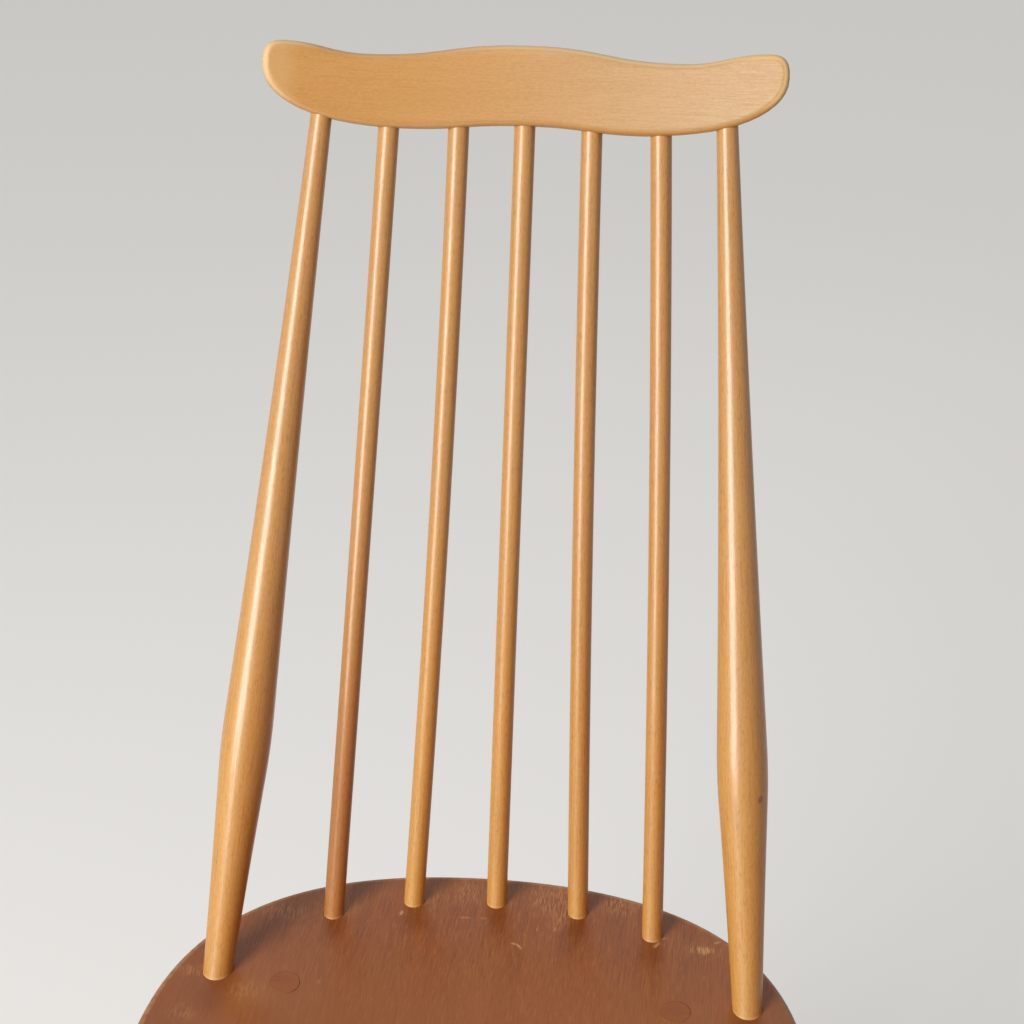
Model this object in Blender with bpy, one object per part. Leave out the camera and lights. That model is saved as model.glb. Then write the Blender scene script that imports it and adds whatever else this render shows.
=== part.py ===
"""A tall stick-backed Windsor side chair, made joint by joint.

Metres, +Z up. The chair faces -Y. Its origin is on the floor, at the middle of its width and of its
overall depth. Left and right are as seen from the front. Every stick, leg and stretcher is a turned
piece that runs along its own axis and ends in bored sockets. The four legs and the two back posts
pass right through the seat, where a wedge spreads the end of each tenon.
"""

import math

import bmesh
import bpy
from mathutils import Matrix, Vector
from mathutils.geometry import interpolate_bezier

# Fits
FIT_GAP = 0.0003
CUT_OVERRUN = 0.010
WELD_DISTANCE = 0.000005

# Seat
SEAT_HEIGHT = 0.4375
SEAT_THICKNESS = 0.032
SEAT_HALF_WIDTH = 0.2235
SEAT_BACK_DEPTH = 0.194
SEAT_FRONT_DEPTH = 0.210
SEAT_BACK_POWER = 2.26
SEAT_FRONT_POWER = 2.9
SEAT_EDGE_ROUND = 0.004
SEAT_BEVEL_WIDTH = 0.020
SEAT_BEVEL_RISE = 0.012

# The shallow dish worked into the seat's top
DISH_DEPTH = 0.007
DISH_SIDE_MARGIN = 0.0635
DISH_HALF_DEPTH = 0.140
DISH_SETBACK = 0.190

# Back: the sticks' rise and lean, and where their feet and heads stand
BACK_RISE = 0.512
BACK_RAKE = math.radians(20.0)
STICK_INSET = 0.0275
STICK_LINE_POWER = 2.2
POST_FOOT_INSET = 0.0157
POST_HEAD_INSET = 0.0390
SPINDLE_FOOT_SHARES = (-0.628, -0.324, 0.0, 0.324, 0.628)
SPINDLE_HEAD_SHARES = (-0.674, -0.330, 0.0, 0.330, 0.674)
SPINDLE_RADIUS = 0.00705
SPINDLE_SOCKET_DEPTH = 0.022
STICK_END_CHAMFER = 0.0012

# Posts: the two stout outer sticks
POST_FOOT_RADIUS = 0.0099
POST_SWELL_RADIUS = 0.01735
POST_HEAD_RADIUS = 0.0070
POST_SWELL_SHARE = 0.27
POST_FILLET_SHARE = 0.035
POST_RISE_POWER = 1.15
POST_HOLLOW_SHARE = 0.38

# Top rail: a bent board with an up-swept tip at each end
RAIL_HALF_LENGTH = 0.177
RAIL_HEIGHT = 0.053
RAIL_THICKNESS = 0.020
RAIL_BEND_RADIUS = 0.660
RAIL_EDGE_ROUND = 0.004
RAIL_SOCKET_DEPTH = 0.022

# The outline's knots and handles, from its middle to its tip, as shares of half length and height.
# Each row is one curved stretch: knot, handle, handle, knot.
RAIL_TOP_SHARES = (
    ((0.0, 1.0), (0.30, 1.0), (0.31, 0.83), (0.61, 0.83)),
    ((0.61, 0.83), (0.74, 0.83), (0.80, 0.965), (0.92, 0.965)),
    ((0.92, 0.965), (0.98, 0.965), (1.0, 0.87), (1.0, 0.67)),
)
RAIL_UNDER_SHARES = (
    ((0.0, 0.0), (0.235, 0.0), (0.235, -0.08), (0.46, -0.08)),
    ((0.46, -0.08), (0.81, -0.08), (1.0, 0.25), (1.0, 0.67)),
)
RAIL_TOP_STEPS = (6, 4, 5)
RAIL_UNDER_STEPS = (5, 10)

# Legs
FRONT_LEG_INSET = 0.0755
FRONT_LEG_SETBACK = 0.0585
FRONT_FOOT_OUT = 0.050
FRONT_FOOT_AHEAD = 0.042
REAR_LEG_INSET = 0.0912
REAR_LEG_SETBACK = 0.1288
REAR_FOOT_OUT = 0.054
REAR_FOOT_BEHIND = 0.144
LEG_TENON_RADIUS = 0.0100
LEG_SWELL_RADIUS = 0.0180
LEG_FOOT_RADIUS = 0.0118
LEG_SWELL_SHARE = 0.46
LEG_NECK = 0.006
FOOT_ROUND = 0.0012

# Stretchers, joined in an H
STRETCHER_HEIGHT = 0.185
SIDE_STRETCHER_RADIUS = 0.0125
CROSS_STRETCHER_RADIUS = 0.0115
STRETCHER_TENON_RADIUS = 0.0070
STRETCHER_NECK = 0.006
TENON_PAST_AXIS = 0.003

# Wedges
WEDGE_LENGTH = 0.022
WEDGE_THICKNESS = 0.0024
WEDGE_TIP_THICKNESS = 0.0008

# How fast a taper leaves its swell: 1 is a straight cone
TAPER_POWER = 1.5

# Fineness of the round surfaces
SEAT_SIDES = 72
TURNED_SIDES = 20
SPINDLE_SIDES = 16
TAPER_STEPS = 5
ROUND_STEPS = 3
DISH_RINGS = 6
SMOOTH_ANGLE = math.radians(35.0)

# Places that follow from the sizes
RAIL_FOOT_Y = BACK_RISE * math.tan(BACK_RAKE)
RAIL_BACK_REACH = (
    RAIL_FOOT_Y
    + (RAIL_HEIGHT - RAIL_EDGE_ROUND) * math.sin(BACK_RAKE)
    + (RAIL_THICKNESS / 2 - RAIL_EDGE_ROUND) * math.cos(BACK_RAKE)
    + RAIL_EDGE_ROUND
)
SEAT_FRONT_REACH = SEAT_FRONT_DEPTH + SEAT_BACK_DEPTH - STICK_INSET
DECK_Y = (SEAT_FRONT_REACH - RAIL_BACK_REACH) / 2
SEAT_BACK_Y = DECK_Y + STICK_INSET
SEAT_WIDE_Y = SEAT_BACK_Y - SEAT_BACK_DEPTH
SEAT_FRONT_Y = SEAT_WIDE_Y - SEAT_FRONT_DEPTH
SEAT_UNDERSIDE = SEAT_HEIGHT - SEAT_THICKNESS
DISH_HALF_WIDTH = SEAT_HALF_WIDTH - DISH_SIDE_MARGIN
POST_FOOT_X = SEAT_HALF_WIDTH - STICK_INSET - POST_FOOT_INSET
POST_HEAD_REACH = RAIL_HALF_LENGTH - POST_HEAD_INSET
FRONT_LEG_X = SEAT_HALF_WIDTH - FRONT_LEG_INSET
REAR_LEG_X = SEAT_HALF_WIDTH - REAR_LEG_INSET
SIDES = (("left", -1), ("right", 1))

# Materials: linear colour and roughness, none of them metal
RAIL_BEECH = ("rail_beech", (0.65, 0.36, 0.145), 0.36)
STICK_BEECH = ("stick_beech", (0.56, 0.27, 0.090), 0.32)
LEG_BEECH = ("leg_beech", (0.52, 0.25, 0.085), 0.34)
SEAT_ELM = ("seat_elm", (0.27, 0.095, 0.038), 0.42)
WEDGE_WOOD = ("wedge_wood", (0.16, 0.055, 0.022), 0.50)


def clear_scene():
    for thing in list(bpy.data.objects):
        bpy.data.objects.remove(thing)


def wood(kind):
    """The material of that name, made the first time that it is asked for."""
    name, colour, roughness = kind
    material = bpy.data.materials.get(name)
    if material is None:
        material = bpy.data.materials.new(name)
        material.use_nodes = True
        shader = material.node_tree.nodes["Principled BSDF"]
        shader.inputs["Base Color"].default_value = (*colour, 1.0)
        shader.inputs["Roughness"].default_value = roughness
        shader.inputs["Metallic"].default_value = 0.0
    return material


def make_object(name, bm, frame, kind=None):
    """Turns the bmesh into an object placed by frame. With no material it is a cutter."""
    mesh = bpy.data.meshes.new(name)
    bm.normal_update()
    bmesh.ops.recalc_face_normals(bm, faces=bm.faces)
    bm.to_mesh(mesh)
    bm.free()
    made = bpy.data.objects.new(name, mesh)
    made.matrix_world = frame
    bpy.context.scene.collection.objects.link(made)
    if kind is None:
        made.hide_render = True
        made.display_type = "WIRE"
    else:
        mesh.materials.append(wood(kind))
        mesh.shade_smooth()
        mesh.set_sharp_from_angle(angle=SMOOTH_ANGLE)
    return made


def axis_frame(start, end, across=Vector((1.0, 0.0, 0.0))):
    """A frame at start whose Z runs to end and whose X lies as near to across as it can."""
    z = (end - start).normalized()
    y = z.cross(across).normalized()
    x = y.cross(z)
    frame = Matrix((x, y, z)).transposed().to_4x4()
    frame.translation = start
    return frame


def turned(profile, sides):
    """A closed solid of revolution about Z from (along, radius) pairs, which run from end to end."""
    bm = bmesh.new()
    ends = [(profile[0][0], 0.0), *profile, (profile[-1][0], 0.0)]
    line = [bm.verts.new((radius, 0.0, along)) for along, radius in ends]
    edges = [bm.edges.new(pair) for pair in zip(line, line[1:])]
    bmesh.ops.spin(
        bm, geom=line + edges, cent=(0, 0, 0), axis=(0, 0, 1), angle=math.tau, steps=sides
    )
    bmesh.ops.remove_doubles(bm, verts=bm.verts, dist=WELD_DISTANCE)
    return bm


def level_cut(bm, frame, height, keep_below):
    """Cuts the mesh level at that height above the floor, closes it and returns the cut's edges."""
    back = frame.inverted()
    up = Vector((0.0, 0.0, 1.0 if keep_below else -1.0))
    cut = bmesh.ops.bisect_plane(
        bm,
        geom=bm.verts[:] + bm.edges[:] + bm.faces[:],
        dist=WELD_DISTANCE,
        plane_co=back @ Vector((0.0, 0.0, height)),
        plane_no=back.to_3x3() @ up,
        clear_outer=True,
    )
    rim = [part for part in cut["geom_cut"] if isinstance(part, bmesh.types.BMEdge)]
    bmesh.ops.edgeloop_fill(bm, edges=rim)
    return rim


def cylinder_into(bm, frame, low, high, radius, sides):
    """Adds to the mesh a cylinder along that frame's Z, from low to high."""
    middle = frame @ Matrix.Translation((0.0, 0.0, (low + high) / 2))
    bmesh.ops.create_cone(
        bm,
        cap_ends=True,
        segments=sides,
        radius1=radius,
        radius2=radius,
        depth=high - low,
        matrix=middle,
    )


def tapered_block_into(bm, frame, low, high, half_low, half_high, half_width):
    """Adds a block along that frame's Z, whose half thickness in Y runs from half_low to half_high."""
    block = bmesh.ops.create_cube(bm, size=1.0)["verts"]
    for vert in block:
        top = vert.co.z > 0
        vert.co = Vector(
            (
                math.copysign(half_width, vert.co.x),
                math.copysign(half_high if top else half_low, vert.co.y),
                high if top else low,
            )
        )
        vert.co = frame @ vert.co


def cut_with(target, name, bm):
    """Takes the cutter's mesh, given in the world frame, out of the target."""
    cutter = make_object(name, bm, Matrix.Identity(4))
    boolean = target.modifiers.new(name, "BOOLEAN")
    boolean.operation = "DIFFERENCE"
    boolean.object = cutter


def taper(share, end_radius, swell_radius):
    """The radius at a share of the way from an end to the swell."""
    return end_radius + (swell_radius - end_radius) * (1 - (1 - share) ** TAPER_POWER)


def steps(low, high, count):
    """Evenly spaced values from low to high, both included."""
    return [low + (high - low) * i / count for i in range(count + 1)]


# Seat


def seat_outline(inset):
    """The seat's plan, drawn in by inset: a broad round back and a squarer front."""
    width = SEAT_HALF_WIDTH - inset
    points = []
    for i in range(SEAT_SIDES):
        angle = math.tau * i / SEAT_SIDES
        across, along = math.cos(angle), math.sin(angle)
        back = along > 0
        depth = (SEAT_BACK_DEPTH if back else SEAT_FRONT_DEPTH) - inset
        power = SEAT_BACK_POWER if back else SEAT_FRONT_POWER
        reach = (abs(across / width) ** power + abs(along / depth) ** power) ** (-1 / power)
        points.append((reach * across, SEAT_WIDE_Y + reach * along))
    return points


def deck_y(x):
    """How far back a stick stands whose foot is x from the middle: STICK_INSET inside the edge."""
    width = SEAT_HALF_WIDTH - STICK_INSET
    depth = SEAT_BACK_DEPTH - STICK_INSET
    share = (1 - abs(x / width) ** STICK_LINE_POWER) ** (1 / STICK_LINE_POWER)
    return SEAT_WIDE_Y + depth * share


def seat_levels():
    """The rings of the seat's skin, from the dish's middle, over the edge, to the underside."""
    levels = []
    dish_y = SEAT_BACK_Y - DISH_SETBACK
    for share in steps(0.0, 1.0, DISH_RINGS)[1:]:
        height = SEAT_HEIGHT - DISH_DEPTH * (1 - share**2) ** 2
        ring = []
        for i in range(SEAT_SIDES):
            angle = math.tau * i / SEAT_SIDES
            x = DISH_HALF_WIDTH * share * math.cos(angle)
            ring.append((x, dish_y + DISH_HALF_DEPTH * share * math.sin(angle), height))
        levels.append(ring)
    for angle in steps(0.0, math.pi / 2, ROUND_STEPS):
        inset = SEAT_EDGE_ROUND * (1 - math.sin(angle))
        height = SEAT_HEIGHT - SEAT_EDGE_ROUND * (1 - math.cos(angle))
        levels.append([(x, y, height) for x, y in seat_outline(inset)])
    bevel_top = SEAT_UNDERSIDE + SEAT_BEVEL_RISE
    levels.append([(x, y, bevel_top) for x, y in seat_outline(0.0)])
    levels.append([(x, y, SEAT_UNDERSIDE) for x, y in seat_outline(SEAT_BEVEL_WIDTH)])
    return levels


def skin(bm, levels):
    """Joins each ring of points to the next with faces, and returns the rings' vertices."""
    rings = [[bm.verts.new(point) for point in level] for level in levels]
    for lower, upper in zip(rings, rings[1:]):
        for i in range(len(lower)):
            bm.faces.new((lower[i - 1], lower[i], upper[i], upper[i - 1]))
    return rings


def make_seat():
    bm = bmesh.new()
    rings = skin(bm, seat_levels())
    middle = bm.verts.new((0.0, SEAT_BACK_Y - DISH_SETBACK, SEAT_HEIGHT - DISH_DEPTH))
    inner = rings[0]
    for i in range(SEAT_SIDES):
        bm.faces.new((middle, inner[i], inner[i - 1]))
    bm.faces.new(rings[-1])
    return make_object("seat", bm, Matrix.Identity(4), SEAT_ELM)


# Legs


def leg_ends():
    """Each leg's name, its foot's middle on the floor and its tenon's middle at the seat's top."""
    front_y = SEAT_FRONT_Y + FRONT_LEG_SETBACK
    rear_y = SEAT_BACK_Y - REAR_LEG_SETBACK
    places = (
        ("front", FRONT_LEG_X, front_y, FRONT_FOOT_OUT, -FRONT_FOOT_AHEAD),
        ("rear", REAR_LEG_X, rear_y, REAR_FOOT_OUT, REAR_FOOT_BEHIND),
    )
    for end, x, y, out, along in places:
        for side, sign in SIDES:
            foot = Vector((sign * (x + out), y + along, 0.0))
            yield f"{end}_{side}", foot, Vector((sign * x, y, SEAT_HEIGHT))


def leg_profile(length):
    """A leg along its axis, from past its foot to past its tenon's top."""
    body = length * SEAT_UNDERSIDE / SEAT_HEIGHT - LEG_NECK
    swell = body * LEG_SWELL_SHARE
    profile = [(-CUT_OVERRUN, LEG_FOOT_RADIUS)]
    for share in steps(0.0, 1.0, TAPER_STEPS):
        profile.append((swell * share, taper(share, LEG_FOOT_RADIUS, LEG_SWELL_RADIUS)))
    for share in steps(1.0, 0.0, TAPER_STEPS)[1:]:
        along = body - (body - swell) * share
        profile.append((along, taper(share, LEG_TENON_RADIUS, LEG_SWELL_RADIUS)))
    profile.append((length + CUT_OVERRUN, LEG_TENON_RADIUS))
    return profile


def make_leg(place, foot, head):
    """A turned leg, cut level at the floor and flush with the seat's top."""
    frame = axis_frame(foot, head)
    bm = turned(leg_profile((head - foot).length), TURNED_SIDES)
    level_cut(bm, frame, SEAT_HEIGHT, keep_below=True)
    rim = level_cut(bm, frame, 0.0, keep_below=False)
    bmesh.ops.bevel(
        bm,
        geom=rim,
        offset=FOOT_ROUND,
        offset_type="OFFSET",
        segments=2,
        profile=0.5,
        affect="EDGES",
    )
    return make_object(f"leg_{place}", bm, frame, LEG_BEECH)


def bore_for_leg_into(bm, frame, length):
    """Adds the bore that a leg's tenon fills in the seat."""
    through = length * SEAT_THICKNESS / SEAT_HEIGHT
    low, high = length - through - CUT_OVERRUN, length + CUT_OVERRUN
    cylinder_into(bm, frame, low, high, LEG_TENON_RADIUS + FIT_GAP, TURNED_SIDES)


def make_legs(seat_bores):
    """The four legs, each wedged in the seat and bored for the end of a side stretcher."""
    knees = leg_knees()
    for place, foot, head in leg_ends():
        leg = make_leg(place, foot, head)
        frame = axis_frame(foot, head)
        length = (head - foot).length
        bore_for_leg_into(seat_bores, frame, length)

        end, side = place.split("_")
        partner = f"rear_{side}" if end == "front" else f"front_{side}"
        cuts = bmesh.new()
        kerf_into(cuts, frame, length, LEG_TENON_RADIUS)
        stretcher_bore_into(cuts, knees[place], knees[partner], LEG_SWELL_RADIUS)
        cut_with(leg, f"cuts_leg_{place}", cuts)
        name = f"leg_wedge_{place}"
        make_wedge(name, frame, length, LEG_TENON_RADIUS, SEAT_HEIGHT, keep_below=True)


# Stretchers


def leg_knees():
    """Where each leg's axis passes the height of the stretchers."""
    return {place: foot.lerp(head, STRETCHER_HEIGHT / head.z) for place, foot, head in leg_ends()}


def stretcher_profile(span, radius, wall):
    """A stretcher swollen at its middle, whose tenons pass the axes of the pieces that hold it."""
    half = span / 2
    body = half - wall - STRETCHER_NECK
    one_side = [(half + TENON_PAST_AXIS, STRETCHER_TENON_RADIUS)]
    for share in steps(0.0, 1.0, TAPER_STEPS):
        along = body * (1 - share)
        one_side.append((along, taper(share, STRETCHER_TENON_RADIUS, radius)))
    other_side = [(-along, size) for along, size in reversed(one_side[:-1])]
    return [(half + along, size) for along, size in one_side + other_side][::-1]


def make_stretcher(name, start, end, radius, wall):
    """A turned stretcher between two axes. wall is the radius of the pieces that hold it."""
    frame = axis_frame(start, end, across=Vector((0.0, 0.0, 1.0)))
    bm = turned(stretcher_profile((end - start).length, radius, wall), TURNED_SIDES)
    return make_object(name, bm, frame, LEG_BEECH)


def stretcher_bore_into(bm, start, end, wall):
    """Adds the bore of a stretcher that comes from end and stops just past start."""
    frame = axis_frame(start, end, across=Vector((0.0, 0.0, 1.0)))
    low = -(TENON_PAST_AXIS + FIT_GAP)
    radius = STRETCHER_TENON_RADIUS + FIT_GAP
    cylinder_into(bm, frame, low, wall + CUT_OVERRUN, radius, TURNED_SIDES)


def make_stretchers():
    """The H: a stretcher on each side and one across, between the middles of those two."""
    knees = leg_knees()
    ends = {side: (knees[f"front_{side}"], knees[f"rear_{side}"]) for side, _ in SIDES}
    middles = {side: (front + rear) / 2 for side, (front, rear) in ends.items()}
    for side, partner in (("left", "right"), ("right", "left")):
        name = f"stretcher_{side}"
        stretcher = make_stretcher(name, *ends[side], SIDE_STRETCHER_RADIUS, LEG_SWELL_RADIUS)
        bore = bmesh.new()
        stretcher_bore_into(bore, middles[side], middles[partner], SIDE_STRETCHER_RADIUS)
        cut_with(stretcher, f"bore_{name}", bore)
    left, right = middles["left"], middles["right"]
    make_stretcher("stretcher_cross", left, right, CROSS_STRETCHER_RADIUS, SIDE_STRETCHER_RADIUS)


# Wedges


def kerf_into(bm, frame, end, radius):
    """Adds the slot that a wedge fills, running from inside the tenon out past its end."""
    slope = (WEDGE_THICKNESS - WEDGE_TIP_THICKNESS) / WEDGE_LENGTH
    half_tip = WEDGE_TIP_THICKNESS / 2 + FIT_GAP
    low = end - WEDGE_LENGTH - FIT_GAP
    high = end + CUT_OVERRUN
    half_high = half_tip + slope * (high - low) / 2
    tapered_block_into(bm, frame, low, high, half_tip, half_high, radius + CUT_OVERRUN)


def make_wedge(name, frame, end, radius, height, keep_below):
    """A wedge driven into the tenon's end and cut flush with the seat's face."""
    bm = bmesh.new()
    slope = (WEDGE_THICKNESS - WEDGE_TIP_THICKNESS) / WEDGE_LENGTH
    low = end - WEDGE_LENGTH
    high = end + CUT_OVERRUN
    half_high = WEDGE_TIP_THICKNESS / 2 + slope * (high - low) / 2
    half_width = math.sqrt(radius**2 - half_high**2)
    local = Matrix.Identity(4)
    tapered_block_into(bm, local, low, high, WEDGE_TIP_THICKNESS / 2, half_high, half_width)
    level_cut(bm, frame, height, keep_below)
    return make_object(name, bm, frame, WEDGE_WOOD)


# Back


def rail_frame():
    """The rail's frame: X along it, Z up its raked face, Y out of its back."""
    place = Vector((0.0, DECK_Y + RAIL_FOOT_Y, SEAT_HEIGHT + BACK_RISE))
    return Matrix.Translation(place) @ Matrix.Rotation(-BACK_RAKE, 4, "X")


def bent(along, up, back):
    """A point of the flat rail, in the rail's frame, once the board is bent."""
    angle = along / RAIL_BEND_RADIUS
    radius = RAIL_BEND_RADIUS + back
    return Vector((radius * math.sin(angle), radius * math.cos(angle) - RAIL_BEND_RADIUS, up))


def rail_half(stretches, counts):
    """Half of the flat rail's outline, from its middle to its tip."""
    points = []
    for knots, count in zip(stretches, counts):
        scaled = [
            Vector((along * RAIL_HALF_LENGTH, up * RAIL_HEIGHT, 0.0)) for along, up in knots
        ]
        curve = interpolate_bezier(*scaled, count + 1)
        points += curve if not points else curve[1:]
    return [(point.x, point.y) for point in points]


def rail_outline():
    """The flat rail's outline: the top edge from tip to tip, then the underside back again."""
    top = rail_half(RAIL_TOP_SHARES, RAIL_TOP_STEPS)
    under = rail_half(RAIL_UNDER_SHARES, RAIL_UNDER_STEPS)
    upper = [(-along, up) for along, up in reversed(top)] + top[1:]
    lower = [(-along, up) for along, up in reversed(under)] + under[1:]
    return upper, lower


def drawn_in(points, inset):
    """The closed outline moved inwards by inset, square to itself. It runs clockwise."""
    moved = []
    count = len(points)
    for i, (along, up) in enumerate(points):
        before, after = points[i - 1], points[(i + 1) % count]
        run, rise = after[0] - before[0], after[1] - before[1]
        length = math.hypot(run, rise)
        moved.append((along + inset * rise / length, up - inset * run / length))
    return moved


def make_rail():
    upper, lower = rail_outline()
    outline = upper + lower[-2:0:-1]
    flat = RAIL_THICKNESS / 2 - RAIL_EDGE_ROUND
    levels = []
    quarter = steps(0.0, math.pi / 2, ROUND_STEPS)
    for side, angles in ((-1, quarter[::-1]), (1, quarter)):
        for angle in angles:
            inset = RAIL_EDGE_ROUND * (1 - math.cos(angle))
            back = side * (flat + RAIL_EDGE_ROUND * math.sin(angle))
            levels.append([bent(along, up, back) for along, up in drawn_in(outline, inset)])
    bm = bmesh.new()
    rings = skin(bm, levels)
    last = len(upper) - 1
    for ring in (rings[0], rings[-1]):
        for i in range(last):
            ends = [ring[i], ring[i + 1], ring[-i - 1], ring[-i]]
            bm.faces.new(list(dict.fromkeys(ends)))
    return make_object("crest_rail", bm, rail_frame(), RAIL_BEECH)


def stick_ends(foot_x, reach):
    """A stick's foot on the seat's top and the middle of its socket in the rail."""
    foot = Vector((foot_x, deck_y(foot_x), SEAT_HEIGHT))
    head = rail_frame() @ bent(reach, RAIL_SOCKET_DEPTH / 2, 0.0)
    return foot, head


def post_radius(share):
    """The post's radius at a share of its height: a quick rise to the swell, then a long fall."""
    if share < POST_SWELL_SHARE:
        rise = (share / POST_SWELL_SHARE) ** POST_RISE_POWER
        return POST_FOOT_RADIUS + (POST_SWELL_RADIUS - POST_FOOT_RADIUS) * rise
    fall = (share - POST_SWELL_SHARE) / (1 - POST_SWELL_SHARE)
    hollow = fall + POST_HOLLOW_SHARE * fall * (1 - fall)
    return POST_SWELL_RADIUS - (POST_SWELL_RADIUS - POST_HEAD_RADIUS) * hollow


def post_profile(foot, head):
    """A post along its axis, with its swell rounded over between its two tapers."""
    clear = head - RAIL_SOCKET_DEPTH / 2
    low = POST_SWELL_SHARE - POST_FILLET_SHARE
    high = POST_SWELL_SHARE + POST_FILLET_SHARE
    profile = [(foot, POST_FOOT_RADIUS)]
    for share in steps(0.0, low, TAPER_STEPS):
        profile.append((share * clear, post_radius(share)))
    for part in steps(0.0, 1.0, TAPER_STEPS)[1:]:
        size = (
            post_radius(low) * (1 - part) ** 2
            + 2 * POST_SWELL_RADIUS * part * (1 - part)
            + post_radius(high) * part**2
        )
        profile.append(((low + (high - low) * part) * clear, size))
    for share in steps(high, 1.0, TAPER_STEPS)[1:]:
        profile.append((share * clear, post_radius(share)))
    return profile + stick_top(head, POST_HEAD_RADIUS)


def stick_top(head, radius):
    """The chamfered end that a stick has inside the rail."""
    end = head + RAIL_SOCKET_DEPTH / 2
    return [(end - STICK_END_CHAMFER, radius), (end, radius - STICK_END_CHAMFER)]


def make_posts(seat_bores, rail_bores):
    """The two outer sticks, through the seat and wedged from below."""
    for side, sign in SIDES:
        foot, head = stick_ends(sign * POST_FOOT_X, sign * POST_HEAD_REACH)
        frame = axis_frame(foot, head)
        length = (head - foot).length
        through = SEAT_THICKNESS * length / (head - foot).z
        bm = turned(post_profile(-through - CUT_OVERRUN, length), TURNED_SIDES)
        level_cut(bm, frame, SEAT_UNDERSIDE, keep_below=False)
        post = make_object(f"post_{side}", bm, frame, STICK_BEECH)

        down = frame @ Matrix.Rotation(math.pi, 4, "X")
        kerf = bmesh.new()
        kerf_into(kerf, down, through, POST_FOOT_RADIUS)
        cut_with(post, f"kerf_post_{side}", kerf)
        name = f"post_wedge_{side}"
        make_wedge(name, down, through, POST_FOOT_RADIUS, SEAT_UNDERSIDE, keep_below=False)

        seat_bore = POST_FOOT_RADIUS + FIT_GAP
        low, high = -through - CUT_OVERRUN, CUT_OVERRUN
        cylinder_into(seat_bores, frame, low, high, seat_bore, TURNED_SIDES)
        rail_bore_into(rail_bores, frame, length, POST_HEAD_RADIUS, TURNED_SIDES)


def rail_bore_into(bm, frame, head, radius, sides):
    """Adds a stick's bore in the rail."""
    low = head - RAIL_SOCKET_DEPTH / 2 - CUT_OVERRUN
    high = head + RAIL_SOCKET_DEPTH / 2 + FIT_GAP
    cylinder_into(bm, frame, low, high, radius + FIT_GAP, sides)


def make_spindles(seat_bores, rail_bores):
    """The five slender sticks between the posts, in blind sockets at both ends."""
    for i, shares in enumerate(zip(SPINDLE_FOOT_SHARES, SPINDLE_HEAD_SHARES)):
        foot, head = stick_ends(shares[0] * POST_FOOT_X, shares[1] * POST_HEAD_REACH)
        frame = axis_frame(foot, head)
        length = (head - foot).length
        bottom = -SPINDLE_SOCKET_DEPTH
        profile = [
            (bottom, SPINDLE_RADIUS - STICK_END_CHAMFER),
            (bottom + STICK_END_CHAMFER, SPINDLE_RADIUS),
            *stick_top(length, SPINDLE_RADIUS),
        ]
        bm = turned(profile, SPINDLE_SIDES)
        make_object(f"spindle_{i + 1}", bm, frame, STICK_BEECH)

        bore = SPINDLE_RADIUS + FIT_GAP
        cylinder_into(seat_bores, frame, bottom - FIT_GAP, CUT_OVERRUN, bore, SPINDLE_SIDES)
        rail_bore_into(rail_bores, frame, length, SPINDLE_RADIUS, SPINDLE_SIDES)


def main():
    clear_scene()
    seat = make_seat()
    rail = make_rail()
    seat_bores, rail_bores = bmesh.new(), bmesh.new()
    make_legs(seat_bores)
    make_stretchers()
    make_posts(seat_bores, rail_bores)
    make_spindles(seat_bores, rail_bores)
    cut_with(seat, "bores_seat", seat_bores)
    cut_with(rail, "bores_crest_rail", rail_bores)


main()
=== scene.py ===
"""Looks of a tall stick-backed Windsor chair: its pieces in wood, the floor, light and camera.

Metres, +Z up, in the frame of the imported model. The chair faces -Y, and left and right are as
seen from the front. Each piece is modelled at its place with Blender's own operators and stands
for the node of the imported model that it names. The wood's pattern follows the attribute "grain",
which holds where a point lies in its piece before any bend, with Z along the grain.
"""

import math

import bmesh
import bpy
from bpy.props import FloatProperty, FloatVectorProperty, PointerProperty
from bpy.types import Operator, Panel, PropertyGroup
from mathutils import Matrix, Vector


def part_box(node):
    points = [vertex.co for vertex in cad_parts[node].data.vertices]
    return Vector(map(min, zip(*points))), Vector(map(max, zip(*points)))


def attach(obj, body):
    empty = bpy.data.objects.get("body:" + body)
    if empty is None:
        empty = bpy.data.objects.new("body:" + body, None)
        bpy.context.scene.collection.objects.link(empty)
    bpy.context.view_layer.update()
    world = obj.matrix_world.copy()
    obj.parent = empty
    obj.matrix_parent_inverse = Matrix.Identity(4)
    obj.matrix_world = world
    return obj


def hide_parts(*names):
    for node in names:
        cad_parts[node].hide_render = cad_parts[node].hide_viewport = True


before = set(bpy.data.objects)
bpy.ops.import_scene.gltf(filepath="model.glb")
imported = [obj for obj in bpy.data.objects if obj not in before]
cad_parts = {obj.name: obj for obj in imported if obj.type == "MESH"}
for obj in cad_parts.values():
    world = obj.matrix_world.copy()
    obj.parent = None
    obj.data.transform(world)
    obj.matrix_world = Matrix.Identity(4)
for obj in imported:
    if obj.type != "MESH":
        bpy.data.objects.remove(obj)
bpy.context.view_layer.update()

bl_info = {
    "name": "Windsor chair",
    "version": (1, 0, 0),
    "blender": (4, 5, 0),
    "location": "3D View > Sidebar > Windsor chair",
    "description": "Builds a tall stick-backed Windsor chair, piece by piece",
    "category": "Add Mesh",
}

BODY = "root"
SIDES = (("left", -1), ("right", 1))

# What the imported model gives
SEAT_LOW, SEAT_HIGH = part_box("seat")
SEAT_TOP = SEAT_HIGH.z
SEAT_UNDERSIDE = SEAT_LOW.z
SEAT_BACK_Y = SEAT_HIGH.y
SEAT_FRONT_Y = SEAT_LOW.y
SEAT_HALF_WIDTH = SEAT_HIGH.x

# Height of the pale worn rim that a stick has where it leaves the seat
FOOT_RIM = 0.0016

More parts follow.
